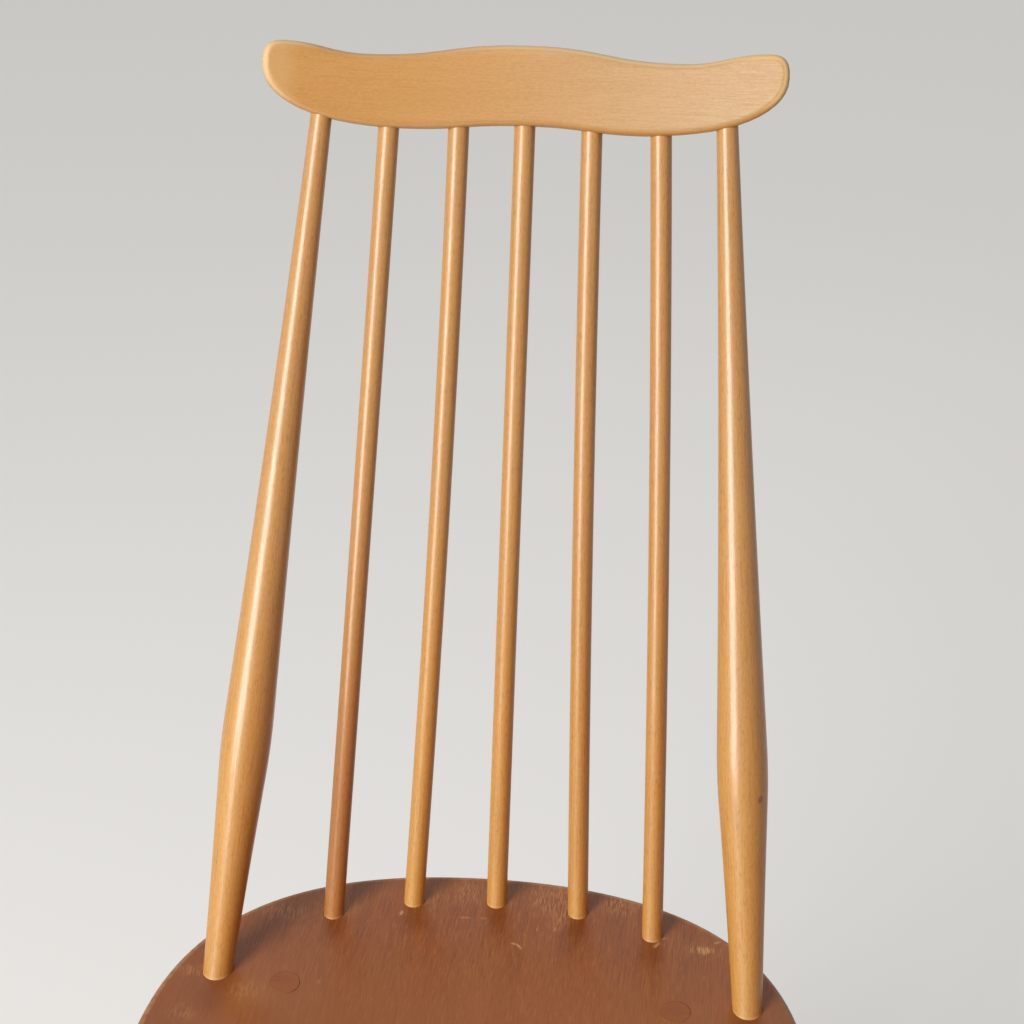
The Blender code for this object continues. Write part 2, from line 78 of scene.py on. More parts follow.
# Seat: where it is widest, how square its corners are and how its underside is chamfered
SEAT_BACK_DEPTH = 0.194
SEAT_BACK_POWER = 2.26
SEAT_FRONT_POWER = 2.9
SEAT_BEVEL_WIDTH = 0.020
SEAT_BEVEL_RISE = 0.012
SEAT_LOWER_ROUND = 0.003
SEAT_WIDE_Y = SEAT_BACK_Y - SEAT_BACK_DEPTH
OUTLINE_STEPS = 36
# How much narrower the real plank is on its left and its right, and how much fuller its back corner
SEAT_TRIMS = (0.0014, 0.0020)
SEAT_FULLNESS = (0.038, 0.014)
# The ring that stays around the top when its middle is opened for the dish
SEAT_RIM = 0.0018

# The shallow dish in the seat's top, and how far off it the seat's own edge starts
DISH_HALF_WIDTH = 0.160
DISH_HALF_DEPTH = 0.140
DISH_Y = SEAT_BACK_Y - 0.190
DISH_RINGS = 14
DISH_MARGIN = 1.02

# Back: the line that the sticks' feet stand on, and their places along it and along the rail
STICK_INSET = 0.0275
STICK_LINE_POWER = 2.2
POST_FOOT_X = 0.1803
POST_HEAD_REACH = 0.138
SPINDLE_FOOT_SHARES = (-0.628, -0.324, 0.0, 0.324, 0.628)
SPINDLE_HEAD_SHARES = (-0.674, -0.330, 0.0, 0.330, 0.674)
SPINDLE_SOCKET_DEPTH = 0.022
BACK_RISE = 0.512
BACK_RAKE = math.radians(20.0)

# Posts
POST_SWELL_SHARE = 0.27
POST_FILLET_SHARE = 0.035
POST_RISE_POWER = 1.15
POST_HOLLOW_SHARE = 0.38

# How each stick has sprung out of true, from left to right: its foot and its head along X, and the
# bow of its middle
POST_SPRINGS = ((-0.0003, 0.0010, 0.0006), (-0.0003, -0.0013, 0.0004))
SPINDLE_SPRINGS = (
    (0.0000, 0.0014, 0.0003),
    (-0.0003, 0.0009, 0.0022),
    (0.0, 0.0001, 0.0),
    (0.0002, 0.0, -0.0013),
    (-0.0008, -0.0009, 0.0017),
)

# How much deeper in tone each spindle is than the posts, at its head and at its foot, and the rises
# above the seat between which it changes. The first spindle's deep foot is painted shadow of the
# left post
SPINDLE_TONES_AND_SHADOW = ((0.0, 0.72), (0.0, 0.02), (0.0, 0.05), (0.03, 0.22), (0.06, 0.20))
TONE_RISES = (0.09, 0.34)
# The rises between which the sticks' gloss dulls towards the seat
DULL_RISES = (0.17, 0.09)

# Top rail: its outline's knots, with the handles before and after, as shares of half its length
# and of its height
RAIL_SOCKET_DEPTH = 0.022
RAIL_KNOT_SHARES = (
    ((-0.30, 1.0), (0.0, 1.0), (0.30, 1.0)),
    ((0.31, 0.83), (0.61, 0.83), (0.74, 0.83)),
    ((0.80, 0.960), (0.92, 0.960), (0.98, 0.960)),
    ((1.0, 0.88), (1.0, 0.67), (1.0, 0.23)),
    ((0.81, -0.08), (0.46, -0.08), (0.235, -0.08)),
    ((0.235, 0.0), (0.0, 0.0), (-0.235, 0.0)),
)
# How much lower the hollow before the right tip is, as a share of the height, and how much
# further each tip reaches, as a share of half the length: the knots below the first share are
# the hollow's, and those past the second are the tip's
RAIL_RIGHT_DROP = 0.010
RAIL_TIP_REACH = {"left": 0.006, "right": 0.0175}
RAIL_HOLLOW_END = 0.8
RAIL_TIP_START = 0.9
# How the right tip thins backwards: the shares of half the length where each resize of the back
# starts, its size, and the share of the height that stays
RAIL_THIN_STARTS = (0.50, 0.58, 0.66, 0.74, 0.82, 0.90)
RAIL_THIN_SHARE = 0.984
RAIL_THIN_HEIGHT = 0.60
# Fineness of its outline and of the strips that bend, and the ring inside its rounded edges
RAIL_STEPS = 14
RAIL_STRIP = 0.003
RAIL_SUPPORT = 0.0012
# Depths off the middle of its thickness between which its edges' pale colour comes in, along the
# whole rail and at the right tip, and how pale that colour is at the left and at the right. The
# pale is painted highlight, with some wear
RAIL_EDGE_DEPTHS = (0.00998, 0.0089)
RAIL_TIP_DEPTHS = (0.00994, 0.0096)
RAIL_PALE_TONES = ((1.30, 1.72, 3.10), (1.44, 1.70, 2.45))
# How far behind the rail's middle the sticks enter it
HEAD_SETBACK = 0.0010

# Legs: the tenons' middles at the seat's top, and the feet's middles on the floor
FRONT_LEG = (0.148, SEAT_FRONT_Y + 0.0585)
FRONT_FOOT = (0.198, SEAT_FRONT_Y + 0.0165)
REAR_LEG = (0.1323, SEAT_BACK_Y - 0.1288)
REAR_FOOT = (0.1863, SEAT_BACK_Y + 0.0152)
LEG_SWELL_SHARE = 0.46
LEG_NECK = 0.006
FOOT_ROUND = 0.0012

# Stretchers
STRETCHER_HEIGHT = 0.185
STRETCHER_TENON_RADIUS = 0.007
STRETCHER_NECK = 0.006
TENON_PAST_AXIS = 0.003

# Wedges
WEDGE_LENGTH = 0.022
WEDGE_THICKNESS = 0.0024

# How far apart pieces are cut from the wood: the turn and the shift from one turned piece to the
# next, where each kind of them starts in the count, and the shifts of the seat and the rail
GRAIN_TURN = 2.4
GRAIN_SHIFT = (0.31, 0.17, 0.0)
WOOD_NUMBERS = {"post": 1, "spindle": 3, "leg": 10, "stretcher": 16}
SEAT_WOOD_SHIFT = 0.4
RAIL_WOOD_SHIFT = 0.8

# Joints: the gaps of a fit and of a flush plug, how far the legs' bores lie off centre, and how
# far a blade or a bit runs past the wood
FIT_GAP = 0.0003
HAIR_GAP = 0.00004
BORE_SLIP = Vector((0.00008, 0.00009, 0.0))
OVERRUN = 0.010
END_CHAMFER = 0.0012
# How full a leg or a stretcher swells between its ends
TAPER_POWER = 1.5
# How near counts as the same place, and from which part of a direction on it counts as the axis
NEAR = 0.00002
ALONG_X = 0.9
LEVEL = 0.99

# Fineness of the round surfaces
TURNED_SIDES = 48
SPINDLE_SIDES = 36
TURNED_STEPS = 14
ROUND_STEPS = 5
SMALL_ROUND_STEPS = 3
SMOOTH_ANGLE = math.radians(32.0)

# Camera
CAMERA_PLACE = (0.15705, -1.10909, 1.40802)
CAMERA_PITCH = math.radians(28.571)
CAMERA_YAW = math.radians(-6.918)
CAMERA_ROLL = math.radians(-0.316)
CAMERA_LENS = 74.84
CAMERA_SENSOR = 36.0
CAMERA_REACH = 60.0

# Light: how pale the surround looks and how strongly it lights, and how much the floor's look gains
LAMP_TINT = (1.0, 0.985, 0.96)
SURROUND_LOOK = 0.75
SURROUND_LIGHT = 0.27
FLOOR_GLOW = 0.41
# Each lamp's place, the point that it faces, its width, its height and its power
WINDOW = ((-1.60, -2.12, 2.02), (0.0, 0.10, 0.62), 1.35, 2.2, 108.0)
BACK_LIGHT = ((0.5, 3.1, 1.15), (0.0, 0.15, 0.70), 1.8, 1.4, 3.0)
BACK_LIGHT_SPREAD = math.radians(60.0)

# Floor
FLOOR_RADIUS = 14.0
FLOOR_INSET = 4.0
FLOOR_SIDES = 96

X_AXIS = Vector((1.0, 0.0, 0.0))
Z_AXIS = Vector((0.0, 0.0, 1.0))


# Sizes and colours that a user may change


def length(name, description, default):
    return FloatProperty(
        name=name, description=description, default=default, min=0.0, precision=4, unit="LENGTH"
    )


def colour(name, description, default):
    return FloatVectorProperty(
        name=name,
        description=description,
        default=default,
        min=0.0,
        max=1.0,
        size=3,
        subtype="COLOR",
    )


class WindsorSizes(PropertyGroup):
    seat_edge_round: length("Seat edge", "Radius of the seat's upper edge", 0.004)
    dish_depth: length("Dish depth", "Depth of the shallow dish in the seat's top", 0.007)
    spindle_radius: length("Spindle radius", "Radius of the five slender sticks", 0.0072)
    post_foot_radius: length("Post foot", "Radius of an outer stick at the seat", 0.0101)
    post_swell_radius: length("Post swell", "Radius of an outer stick at its swell", 0.01735)
    post_head_radius: length("Post head", "Radius of an outer stick at the rail", 0.0073)
    rail_half_length: length("Rail half length", "Half the length of the unbent top rail", 0.177)
    rail_height: length("Rail height", "Height of the top rail at its middle", 0.053)
    rail_thickness: length("Rail thickness", "Thickness of the top rail", 0.0198)
    rail_bend_radius: length("Rail bend", "Radius of the top rail's bend in plan", 0.660)
    rail_edge_round: length("Rail edge", "Radius of the top rail's edges", 0.0046)
    leg_tenon_radius: length("Leg tenon", "Radius of a leg where it passes the seat", 0.0100)
    leg_swell_radius: length("Leg swell", "Radius of a leg at its swell", 0.0180)
    leg_foot_radius: length("Leg foot", "Radius of a leg at the floor", 0.0118)
    side_stretcher_radius: length("Side stretcher", "Radius of a side stretcher's swell", 0.0125)
    cross_stretcher_radius: length("Cross stretcher", "Radius of the cross one's swell", 0.0115)


class WindsorColours(PropertyGroup):
    rail: colour("Top rail", "Colour of the beech top rail", (0.564, 0.303, 0.093))
    stick: colour("Sticks", "Colour of the beech sticks", (0.570, 0.272, 0.076))
    leg: colour("Legs", "Colour of the beech legs and stretchers", (0.51, 0.240, 0.062))
    seat: colour("Seat", "Colour of the stained seat", (0.280, 0.0815, 0.0190))
    wedge: colour("Wedges", "Colour of the wedges' end grain", (0.16, 0.055, 0.022))
    floor: colour("Floor", "Colour of the plain floor", (0.49, 0.483, 0.47))


# Modelling


def deselect():
    bpy.ops.object.select_all(action="DESELECT")


def activate(piece):
    deselect()
    piece.select_set(True)
    bpy.context.view_layer.objects.active = piece


def apply_place():
    bpy.ops.object.transform_apply(location=True, rotation=True, scale=True)


def edit(piece):
    activate(piece)
    bpy.ops.object.mode_set(mode="EDIT")


def leave_edit():
    bpy.ops.object.mode_set(mode="OBJECT")


def pick(kind, test):
    """In edit mode, selects the vertices, edges or faces that pass the test and nothing else."""
    bpy.ops.mesh.select_all(action="DESELECT")
    bpy.ops.mesh.select_mode(type=kind)
    bm = bmesh.from_edit_mesh(bpy.context.object.data)
    parts = {"VERT": bm.verts, "EDGE": bm.edges, "FACE": bm.faces}[kind]
    for part in parts:
        if test(part):
            part.select_set(True)
    bm.select_flush_mode()
    bmesh.update_edit_mesh(bpy.context.object.data)


def pick_all():
    bpy.ops.mesh.select_all(action="SELECT")


def ends_pass(test):
    """A test of an edge or face that all its vertices' places pass."""
    return lambda part: all(test(vert.co) for vert in part.verts)


def lies_at(axis, level):
    """A test of an edge or face that lies at that level along the axis."""
    return ends_pass(lambda co: abs(getattr(co, axis) - level) < NEAR)


def extrude(step):
    bpy.ops.mesh.extrude_region_move(TRANSFORM_OT_translate={"value": step})


def resize(factors, centre):
    bpy.ops.transform.resize(value=factors, center_override=centre)


def round_edges(test, radius, segments=ROUND_STEPS):
    """In edit mode, rounds the edges that pass the test."""
    pick("EDGE", test)
    bpy.ops.mesh.bevel(offset=radius, segments=segments, profile=0.5, affect="EDGES")


def face_outwards():
    pick_all()
    bpy.ops.mesh.normals_make_consistent(inside=False)


def cut_level(height, keep_above):
    """In edit mode, saws the piece off level at that height and closes it."""
    pick_all()
    bpy.ops.mesh.bisect(
        plane_co=(0.0, 0.0, height),
        plane_no=Z_AXIS,
        use_fill=True,
        clear_inner=keep_above,
        clear_outer=not keep_above,
    )


def taper(share, end_radius, swell_radius):
    """The radius at a share of the way from an end to the swell."""
    return end_radius + (swell_radius - end_radius) * (1 - (1 - share) ** TAPER_POWER)


def steps(low, high, count):
    return [low + (high - low) * i / count for i in range(count + 1)]


def axis_frame(start, end):
    """A frame at start whose Z runs to end and whose X lies across the chair, or up if Z does."""
    z = (end - start).normalized()
    across = Z_AXIS if abs(z.x) > ALONG_X else X_AXIS
    y = z.cross(across).normalized()
    placed = Matrix((y.cross(z), y, z)).transposed().to_4x4()
    placed.translation = start
    return placed


def turn(name, start, end, profile, sides, bow=0.0):
    """Turns a piece between two points: a disc, extruded along the axis and resized ring by ring.

    The profile holds (along, radius) pairs from start. The middle springs along X by the bow.
    """
    placed = axis_frame(start, end)
    axis = placed.col[2].xyz
    reach = (end - start).length

    def centre(along):
        share = min(max(along / reach, 0.0), 1.0)
        return start + axis * along + X_AXIS * (4 * bow * share * (1 - share))

    along, radius = profile[0]
    deselect()
    bpy.ops.mesh.primitive_circle_add(
        vertices=sides,
        radius=radius,
        fill_type="NGON",
        location=centre(along),
        rotation=placed.to_euler(),
    )
    piece = bpy.context.object
    piece.name = name
    apply_place()
    edit(piece)
    pick_all()
    here = centre(along)
    for along, new_radius in profile[1:]:
        there = centre(along)
        extrude(there - here)
        grow = new_radius / radius
        resize((grow, grow, grow), there)
        here, radius = there, new_radius
    face_outwards()
    leave_edit()
    return piece


def cut_away(piece, cutters):
    """Takes the cutters out of the piece, which keeps its outer size, and puts the cutters away."""
    size = piece.dimensions.copy()
    for cutter in cutters:
        activate(piece)
        boolean = piece.modifiers.new("cut", "BOOLEAN")
        boolean.operation = "DIFFERENCE"
        boolean.solver = "EXACT"
        boolean.object = cutter
        bpy.ops.object.modifier_apply(modifier=boolean.name)
    if (piece.dimensions - size).length > FIT_GAP:
        raise RuntimeError(f"cutting {piece.name} changed its outer size")
    deselect()
    for cutter in cutters:
        cutter.select_set(True)
    bpy.ops.object.delete()


def bit(start, end, low, high, radius, sides):
    """A boring bit: a cylinder on the axis from start to end, from low to high along it."""
    placed = axis_frame(start, end)
    deselect()
    bpy.ops.mesh.primitive_cylinder_add(
        vertices=sides,
        radius=radius,
        depth=high - low,
        location=start + placed.col[2].xyz * (low + high) / 2,
        rotation=placed.to_euler(),
    )
    return bpy.context.object


def kerf(start, end, radius):
    """A saw's blade through the end of a tenon, as thick as its wedge with the gaps beside it."""
    placed = axis_frame(start, end)
    tall = WEDGE_LENGTH + OVERRUN
    reach = (end - start).length - WEDGE_LENGTH + tall / 2
    deselect()
    bpy.ops.mesh.primitive_cube_add(
        size=1.0,
        location=start + placed.col[2].xyz * reach,
        rotation=placed.to_euler(),
        scale=(2 * (radius + OVERRUN), WEDGE_THICKNESS + 2 * HAIR_GAP, tall),
    )
    return bpy.context.object


def draw_outline(name, knots, resolution):
    """A closed outline, drawn from (handle before, knot, handle after), as a ring of edges."""
    deselect()
    bpy.ops.curve.primitive_bezier_circle_add(radius=1.0, location=(0.0, 0.0, 0.0))
    outline = bpy.context.object
    outline.name = name
    outline.data.dimensions = "3D"
    outline.data.resolution_u = resolution
    spline = outline.data.splines[0]
    spline.bezier_points.add(len(knots) - len(spline.bezier_points))
    for point, (before, knot, after) in zip(spline.bezier_points, knots):
        point.handle_left_type = "FREE"
        point.handle_right_type = "FREE"
        point.handle_left = before
        point.co = knot
        point.handle_right = after
    bpy.ops.object.convert(target="MESH")
    piece = bpy.context.object
    edit(piece)
    pick_all()
    bpy.ops.mesh.remove_doubles(threshold=NEAR)
    leave_edit()
    return piece


def smooth(piece, weighted=False):
    activate(piece)
    bpy.ops.object.shade_smooth_by_angle(angle=SMOOTH_ANGLE)
    if weighted:
        normals = piece.modifiers.new("normals", "WEIGHTED_NORMAL")
        normals.keep_sharp = True
        bpy.ops.object.modifier_apply(modifier=normals.name)


def mark_grain(piece, place_in_wood):
    """Stores at each vertex where it lies in the wood, Z along the grain."""
    grain = piece.data.attributes.new("grain", "FLOAT_VECTOR", "POINT")
    for vert, value in zip(piece.data.vertices, grain.data):
        value.vector = place_in_wood(vert.co)


def mark_seat_rim(piece, edge_round):
    """Stores 1 at the vertices of the rounded upper edge, off the dish, and 0 elsewhere."""
    rim = piece.data.attributes.new("rim", "FLOAT", "POINT")
    for edge in piece.data.edges:
        low, high = sorted((piece.data.vertices[i] for i in edge.vertices), key=lambda v: v.co.z)
        rise = high.co.z - low.co.z
        off_centre = math.hypot(low.co.x / DISH_HALF_WIDTH, (low.co.y - DISH_Y) / DISH_HALF_DEPTH)
        if NEAR / 2 < rise < edge_round and low.co.z > SEAT_TOP - edge_round - NEAR:
            if off_centre > DISH_MARGIN:
                rim.data[low.index].value = 1.0
                rim.data[high.index].value = 1.0


def mark_tone_and_shadow(piece, at_head, at_foot):
    """Stores how much deeper a stick is, by its tone and by painted shadow, changing over its lower
    part.
    """
    made = piece.data.attributes.new("tone", "FLOAT", "POINT")
    low, high = TONE_RISES
    for vert, value in zip(piece.data.vertices, made.data):
        share = (vert.co.z - SEAT_TOP - low) / (high - low)
        value.value = at_foot + (at_head - at_foot) * min(max(share, 0.0), 1.0)


def finish(piece, node, wood):
    """The piece stands for the node, takes the finish of that wood and rides on the chair."""
    piece.data.materials.clear()
    piece.data.materials.append(finish_of(wood))
    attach(piece, BODY)
    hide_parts(node)


def finish_turned(piece, start, end, number, node, wood):
    """Smooths a turned piece, runs its grain along its axis and finishes it.

    The number tells alike pieces apart.
    """
    smooth(piece)
    back = axis_frame(start, end).inverted()
    turned = Matrix.Rotation(GRAIN_TURN * number, 4, "Z")
    shift = Vector([along * number for along in GRAIN_SHIFT])
    mark_grain(piece, lambda place: turned @ (back @ place) + shift)
    finish(piece, node, wood)


# Wood


class Shade:
    """A material's nodes, added and linked one by one."""

    def __init__(self, name):
        self.material = bpy.data.materials.new(name)
        self.material.use_nodes = True
        self.tree = self.material.node_tree
        self.shader = self.tree.nodes["Principled BSDF"]

    def add(self, kind, inputs, **settings):
        node = self.tree.nodes.new("ShaderNode" + kind)
        for name, value in settings.items():
            setattr(node, name, value)
        for socket, value in inputs.items():
            self.feed(node.inputs[socket], value)
        return node

    def feed(self, socket, value):
        if isinstance(value, bpy.types.NodeSocket):
            self.tree.links.new(value, socket)
        else:
            socket.default_value = value

    def set(self, socket, value):
        self.feed(self.shader.inputs[socket], value)

    def attribute(self, name, output="Fac"):
        return self.add("Attribute", {}, attribute_name=name).outputs[output]

    def grain(self):
        return self.attribute("grain", "Vector")

    def place(self):
        return self.add("TexCoord", {}).outputs["Object"]

    def facing(self, axis):
        """How far a face looks along the axis, from -1 to 1."""
        return self.along(self.add("TexCoord", {}).outputs["Normal"], axis)

    def along(self, vector, axis):
        return self.add("SeparateXYZ", {0: vector}).outputs[axis]

    def moved(self, vector, location=(0, 0, 0), rotation=(0, 0, 0), scale=(1, 1, 1)):
        inputs = {"Vector": vector, "Location": location, "Rotation": rotation, "Scale": scale}
        return self.add("Mapping", inputs).outputs[0]

    def noise(self, vector, scale, detail=2.0, distortion=0.0):
        """Noise that is stretched by one scale for each axis, in turns per metre."""
        inputs = {
            "Vector": self.moved(vector, scale=scale),
            "Scale": 1.0,
            "Detail": detail,
            "Distortion": distortion,
        }
        return self.add("TexNoise", inputs).outputs["Fac"]

    def rise(self, value, low, high, start=0.0, end=1.0):
        """Runs from start to end while the value runs from low to high, eased at both ends."""
        inputs = {0: value, 1: low, 2: high, 3: start, 4: end}
        return self.add("MapRange", inputs, interpolation_type="SMOOTHSTEP").outputs[0]

    def maths(self, operation, first, second=0.0, third=0.0):
        inputs = {0: first, 1: second, 2: third}
        return self.add("Math", inputs, operation=operation).outputs[0]

    def times(self, first, second):
        return self.maths("MULTIPLY", first, second)

    def most(self, first, second):
        return self.maths("MAXIMUM", first, second)

    def mix(self, factor, first, second, blend="MIX"):
        inputs = {"Factor": factor, 6: first, 7: second}
        for side in (6, 7):
            if not isinstance(inputs[side], bpy.types.NodeSocket):
                inputs[side] = (*inputs[side], 1.0)
        return self.add("Mix", inputs, data_type="RGBA", blend_type=blend).outputs[2]

    def bump(self, height, distance):
        return self.add("Bump", {"Height": height, "Distance": distance}).outputs[0]


def toned(base, tone):
    return tuple(part * factor for part, factor in zip(base, tone))


class Wood(Shade):
    """A wood whose colour is built up in layers, each of them the base colour in another tone."""

    def __init__(self, name, base, tone):
        super().__init__(name)
        self.base = tuple(base)
        self.colour = toned(base, tone)

    def tone(self, factor, tone):
        """Turns the colour towards the base in that tone, as far as the factor says."""
        self.colour = self.mix(factor, self.colour, toned(self.base, tone))

    def tint(self, factor, tint):
        """Multiplies the colour by the tint, as far as the factor says."""
        self.colour = self.mix(factor, self.colour, tint, blend="MULTIPLY")

    def layers(self, rows):
        """Tones the colour where each row's value runs from low to high, up to its strength."""
        for value, low, high, strength, tone in rows:
            self.tone(self.rise(value, low, high, 0.0, strength), tone)

    def finished(self, roughness, specular, height, depth, coat=0.0, coat_roughness=0.03):
        """The material with its colour, its gloss and the relief that the height gives it."""
        self.set("Base Color", self.colour)
        self.set("Roughness", roughness)
        self.set("Specular IOR Level", specular)
        self.set("Coat Weight", coat)
        self.set("Coat Roughness", coat_roughness)
        self.set("Normal", self.bump(height, depth))
        return self.material


def far_from(shade, place, centre, halves, turned=0.0):
    """How far a place lies from the middle of an oval that is turned in plan: 1 is on its rim."""
    centred = shade.moved(place, location=[-along for along in centre])
    level = shade.moved(centred, rotation=(0.0, 0.0, -math.radians(turned)))
    shrunk = shade.moved(level, scale=[1 / half for half in halves])
    return shade.add("VectorMath", {0: shrunk}, operation="LENGTH").outputs["Value"]


def paint_rail_light_and_wear(wood, grain, looks):
    """Paints highlight on the rail's edges, left tip and crest, partly as wear, and shade at its
    lower right.

    In the rail's wood X runs through its thickness, Y up its face and Z from left to right.
    """
    across = wood.maths("SUBTRACT", wood.along(grain, "X"), RAIL_WOOD_SHIFT)
    across = wood.maths("ABSOLUTE", across)
    up = wood.along(grain, "Y")
    reach = wood.along(grain, "Z")
    right_tip = wood.rise(reach, 0.120, 0.165)
    left_tip = wood.rise(reach, -0.150, -0.168)
    tip_edge = wood.times(right_tip, wood.rise(across, *RAIL_TIP_DEPTHS))
    edge = wood.most(wood.rise(across, *RAIL_EDGE_DEPTHS), tip_edge)
    upper = wood.rise(wood.maths("MULTIPLY_ADD", right_tip, 0.010, up), 0.020, 0.034)
    # Painted highlight: the left tip is paler all over
    wood.tone(wood.times(left_tip, 0.5), (1.14, 1.25, 1.62))

    # Painted shade: the lower edges deepen towards the right tip
    lower = wood.times(wood.maths("POWER", edge, 3.0), wood.maths("SUBTRACT", 1.0, upper))
    wood.tone(wood.times(lower, wood.rise(reach, 0.0, 0.15, 0.0, 0.55)), looks["underside"])
    # Painted highlight with some wear: the edges turn pale, most at the tips and along the top
    low_sheen_and_wear = wood.most(wood.rise(reach, 0.05, -0.05, 0.0, 0.45), left_tip)
    top_sheen_and_wear = wood.rise(reach, -0.07, 0.0, 0.40, 1.0)
    top_sheen_and_wear = wood.most(top_sheen_and_wear, wood.rise(reach, -0.125, -0.158))
    top_sheen_and_wear = wood.times(top_sheen_and_wear, upper)
    worn = wood.maths("MULTIPLY_ADD", edge, top_sheen_and_wear, wood.times(lower, low_sheen_and_wear))
    # Painted highlight along the top of the crest
    worn = wood.most(worn, wood.rise(up, 0.0450, 0.0530, 0.0, 0.32))
    left_pale, right_pale = (toned(wood.base, tone) for tone in RAIL_PALE_TONES)
    pale = wood.mix(right_tip, left_pale, right_pale)
    wood.colour = wood.mix(wood.times(worn, looks["paled_edges"]), wood.colour, pale)


def make_beech(name, base, looks):
    """Satin beech: soft bands of growth, streaks, fine fibres and the short flecks of its rays.

    The looks are how strongly the streaks and the flecks show, the flecks' scale along the grain,
    how much the rail's edges have paled with painted highlight and some wear, the tints that the
    wood takes at its start and end along the grain, its painted shade where it looks down, the
    painted change of sheen that a stick takes towards the seat, how much of the painted shade on a
    stick's right side is left at its head, its knots and its gloss. The attribute "tone" deepens a
    piece, and on the first spindle it paints the left post's shadow near the foot.
    """
    wood = Wood(name, base, (0.94, 0.89, 0.80))
    grain = wood.grain()
    bands = wood.noise(grain, (260.0, 60.0, 3.5), detail=3.0, distortion=0.4)
    cloud = wood.noise(grain, (24.0, 24.0, 9.0))
    streaks = wood.noise(grain, (640.0, 640.0, 13.0), detail=3.0)
    fibres = wood.noise(grain, (1500.0, 1500.0, 55.0))
    flecks = wood.noise(grain, (1350.0, 1350.0, looks["fleck_turns"]), detail=1.0)
    specks = wood.noise(grain, (900.0, 900.0, 300.0))
    fleck = wood.rise(flecks, 0.58, 0.72, 0.0, looks["fleck"])
    wood.layers(
        (
            (bands, 0.30, 0.70, 1.0, (1.05, 1.09, 1.17)),
            (cloud, 0.35, 0.65, 0.6, (1.03, 0.95, 0.86)),
            (streaks, 0.47, 0.30, looks["streak"], (0.80, 0.68, 0.54)),
            (streaks, 0.55, 0.72, looks["streak"] * 0.7, (1.12, 1.20, 1.32)),
            (fibres, 0.34, 0.68, 0.42, (0.85, 0.76, 0.66)),
            (specks, 0.35, 0.70, 0.5, (1.10, 1.16, 1.24)),
        )
    )
    wood.tone(fleck, (0.60, 0.46, 0.36))
    if looks["end_tints"]:
        reached = wood.rise(wood.along(grain, "Z"), -0.13, 0.15)
        wood.tint(1.0, wood.mix(reached, *looks["end_tints"]))
    # Painted highlight and shade on the rail's edges, with some wear
    if looks["paled_edges"]:
        paint_rail_light_and_wear(wood, grain, looks)
    # Painted shade: darker and warmer where a face looks down
    wood.tone(wood.rise(wood.facing("Z"), 0.05, -0.75, 0.0, 0.5), looks["underside"])
    # Deeper by the attribute "tone": tone on most spindles, painted shadow at the first one's foot
    wood.tint(wood.attribute("tone"), (0.62, 0.40, 0.24))

    place = wood.place()
    height = wood.along(place, "Z")
    roughness = wood.rise(fibres, 0.25, 0.75, *looks["roughness"])
    if looks["foot_sheen_tint"]:
        # Painted change of sheen: warmer and less blue towards the seat
        risen = wood.rise(height, *(SEAT_TOP + rise for rise in TONE_RISES))
        wood.tint(1.0, wood.mix(risen, looks["foot_sheen_tint"], (0.95, 1.0, 1.0)))
        # Painted shade on the sticks' right sides, strongest low down and darkest where they face
        # right
        to_right = wood.facing("X")
        left_over = wood.rise(risen, 0.0, 1.0, 1.0, looks["right_shade_at_head"])
        wood.tint(wood.times(wood.rise(to_right, -0.22, 0.80), left_over), (0.90, 0.69, 0.34))
        wood.tint(wood.rise(to_right, 0.80, 1.0), (0.86, 0.74, 0.60))
        dulled = wood.rise(height, *(SEAT_TOP + rise for rise in DULL_RISES), 0.0, 0.16)
        roughness = wood.maths("ADD", roughness, dulled)
    for centre, halves, strength in looks["knots"]:
        knot = wood.rise(far_from(wood, place, centre, halves), 1.3, 0.5, 0.0, strength)
        wood.tone(knot, (0.42, 0.20, 0.08))
    rim = wood.rise(height, SEAT_TOP + FOOT_RIM, SEAT_TOP + FOOT_RIM / 2, 0.0, 0.28)
    rim = wood.times(rim, wood.maths("GREATER_THAN", height, SEAT_TOP - FOOT_RIM))
    wood.tone(rim, (1.30, 1.60, 2.2))
    relief = wood.maths("SUBTRACT", fibres, wood.times(fleck, 0.8))
    coat = looks["coat"], looks["coat_roughness"]
    return wood.finished(roughness, looks["specular"], relief, 0.00005, *coat)


TURNED_BEECH = {
    "colour": "stick",
    "streak": 0.75,
    "fleck": 0.50,
    "fleck_turns": 190.0,
    "paled_edges": 0.0,
    "end_tints": None,
    "underside": (0.84, 0.66, 0.42),
    "foot_sheen_tint": None,
    "knots": (),
    "roughness": (0.33, 0.46),
    "specular": 0.66,
    "coat_roughness": 0.24,
}
BEECH_LOOKS = {
    "rail beech": {
        "colour": "rail",
        "streak": 0.24,
        "fleck": 0.17,
        "fleck_turns": 480.0,
        "paled_edges": 0.80,
        "end_tints": ((0.95, 0.87, 0.76), (0.88, 0.95, 1.20)),
        "underside": (1.03, 0.80, 0.48),
        "foot_sheen_tint": None,
        "knots": (),
        "roughness": (0.40, 0.52),
        "specular": 0.42,
        "coat": 0.10,
        "coat_roughness": 0.30,
    },
    "post beech": {
        **TURNED_BEECH,
        "foot_sheen_tint": (0.98, 0.99, 0.69),
        "right_shade_at_head": 0.55,
        "knots": (((0.1812, 0.0439, 0.5692), (0.0018, 0.0040, 0.0026), 0.9),),
        "coat": 0.55,
    },
    "stick beech": {
        **TURNED_BEECH,
        "foot_sheen_tint": (1.03, 1.07, 0.78),
        "right_shade_at_head": 0.30,
        "roughness": (0.35, 0.48),
        "coat": 0.46,
        "coat_roughness": 0.26,
    },
    "leg beech": {**TURNED_BEECH, "colour": "leg", "specular": 0.60, "coat": 0.40},
}

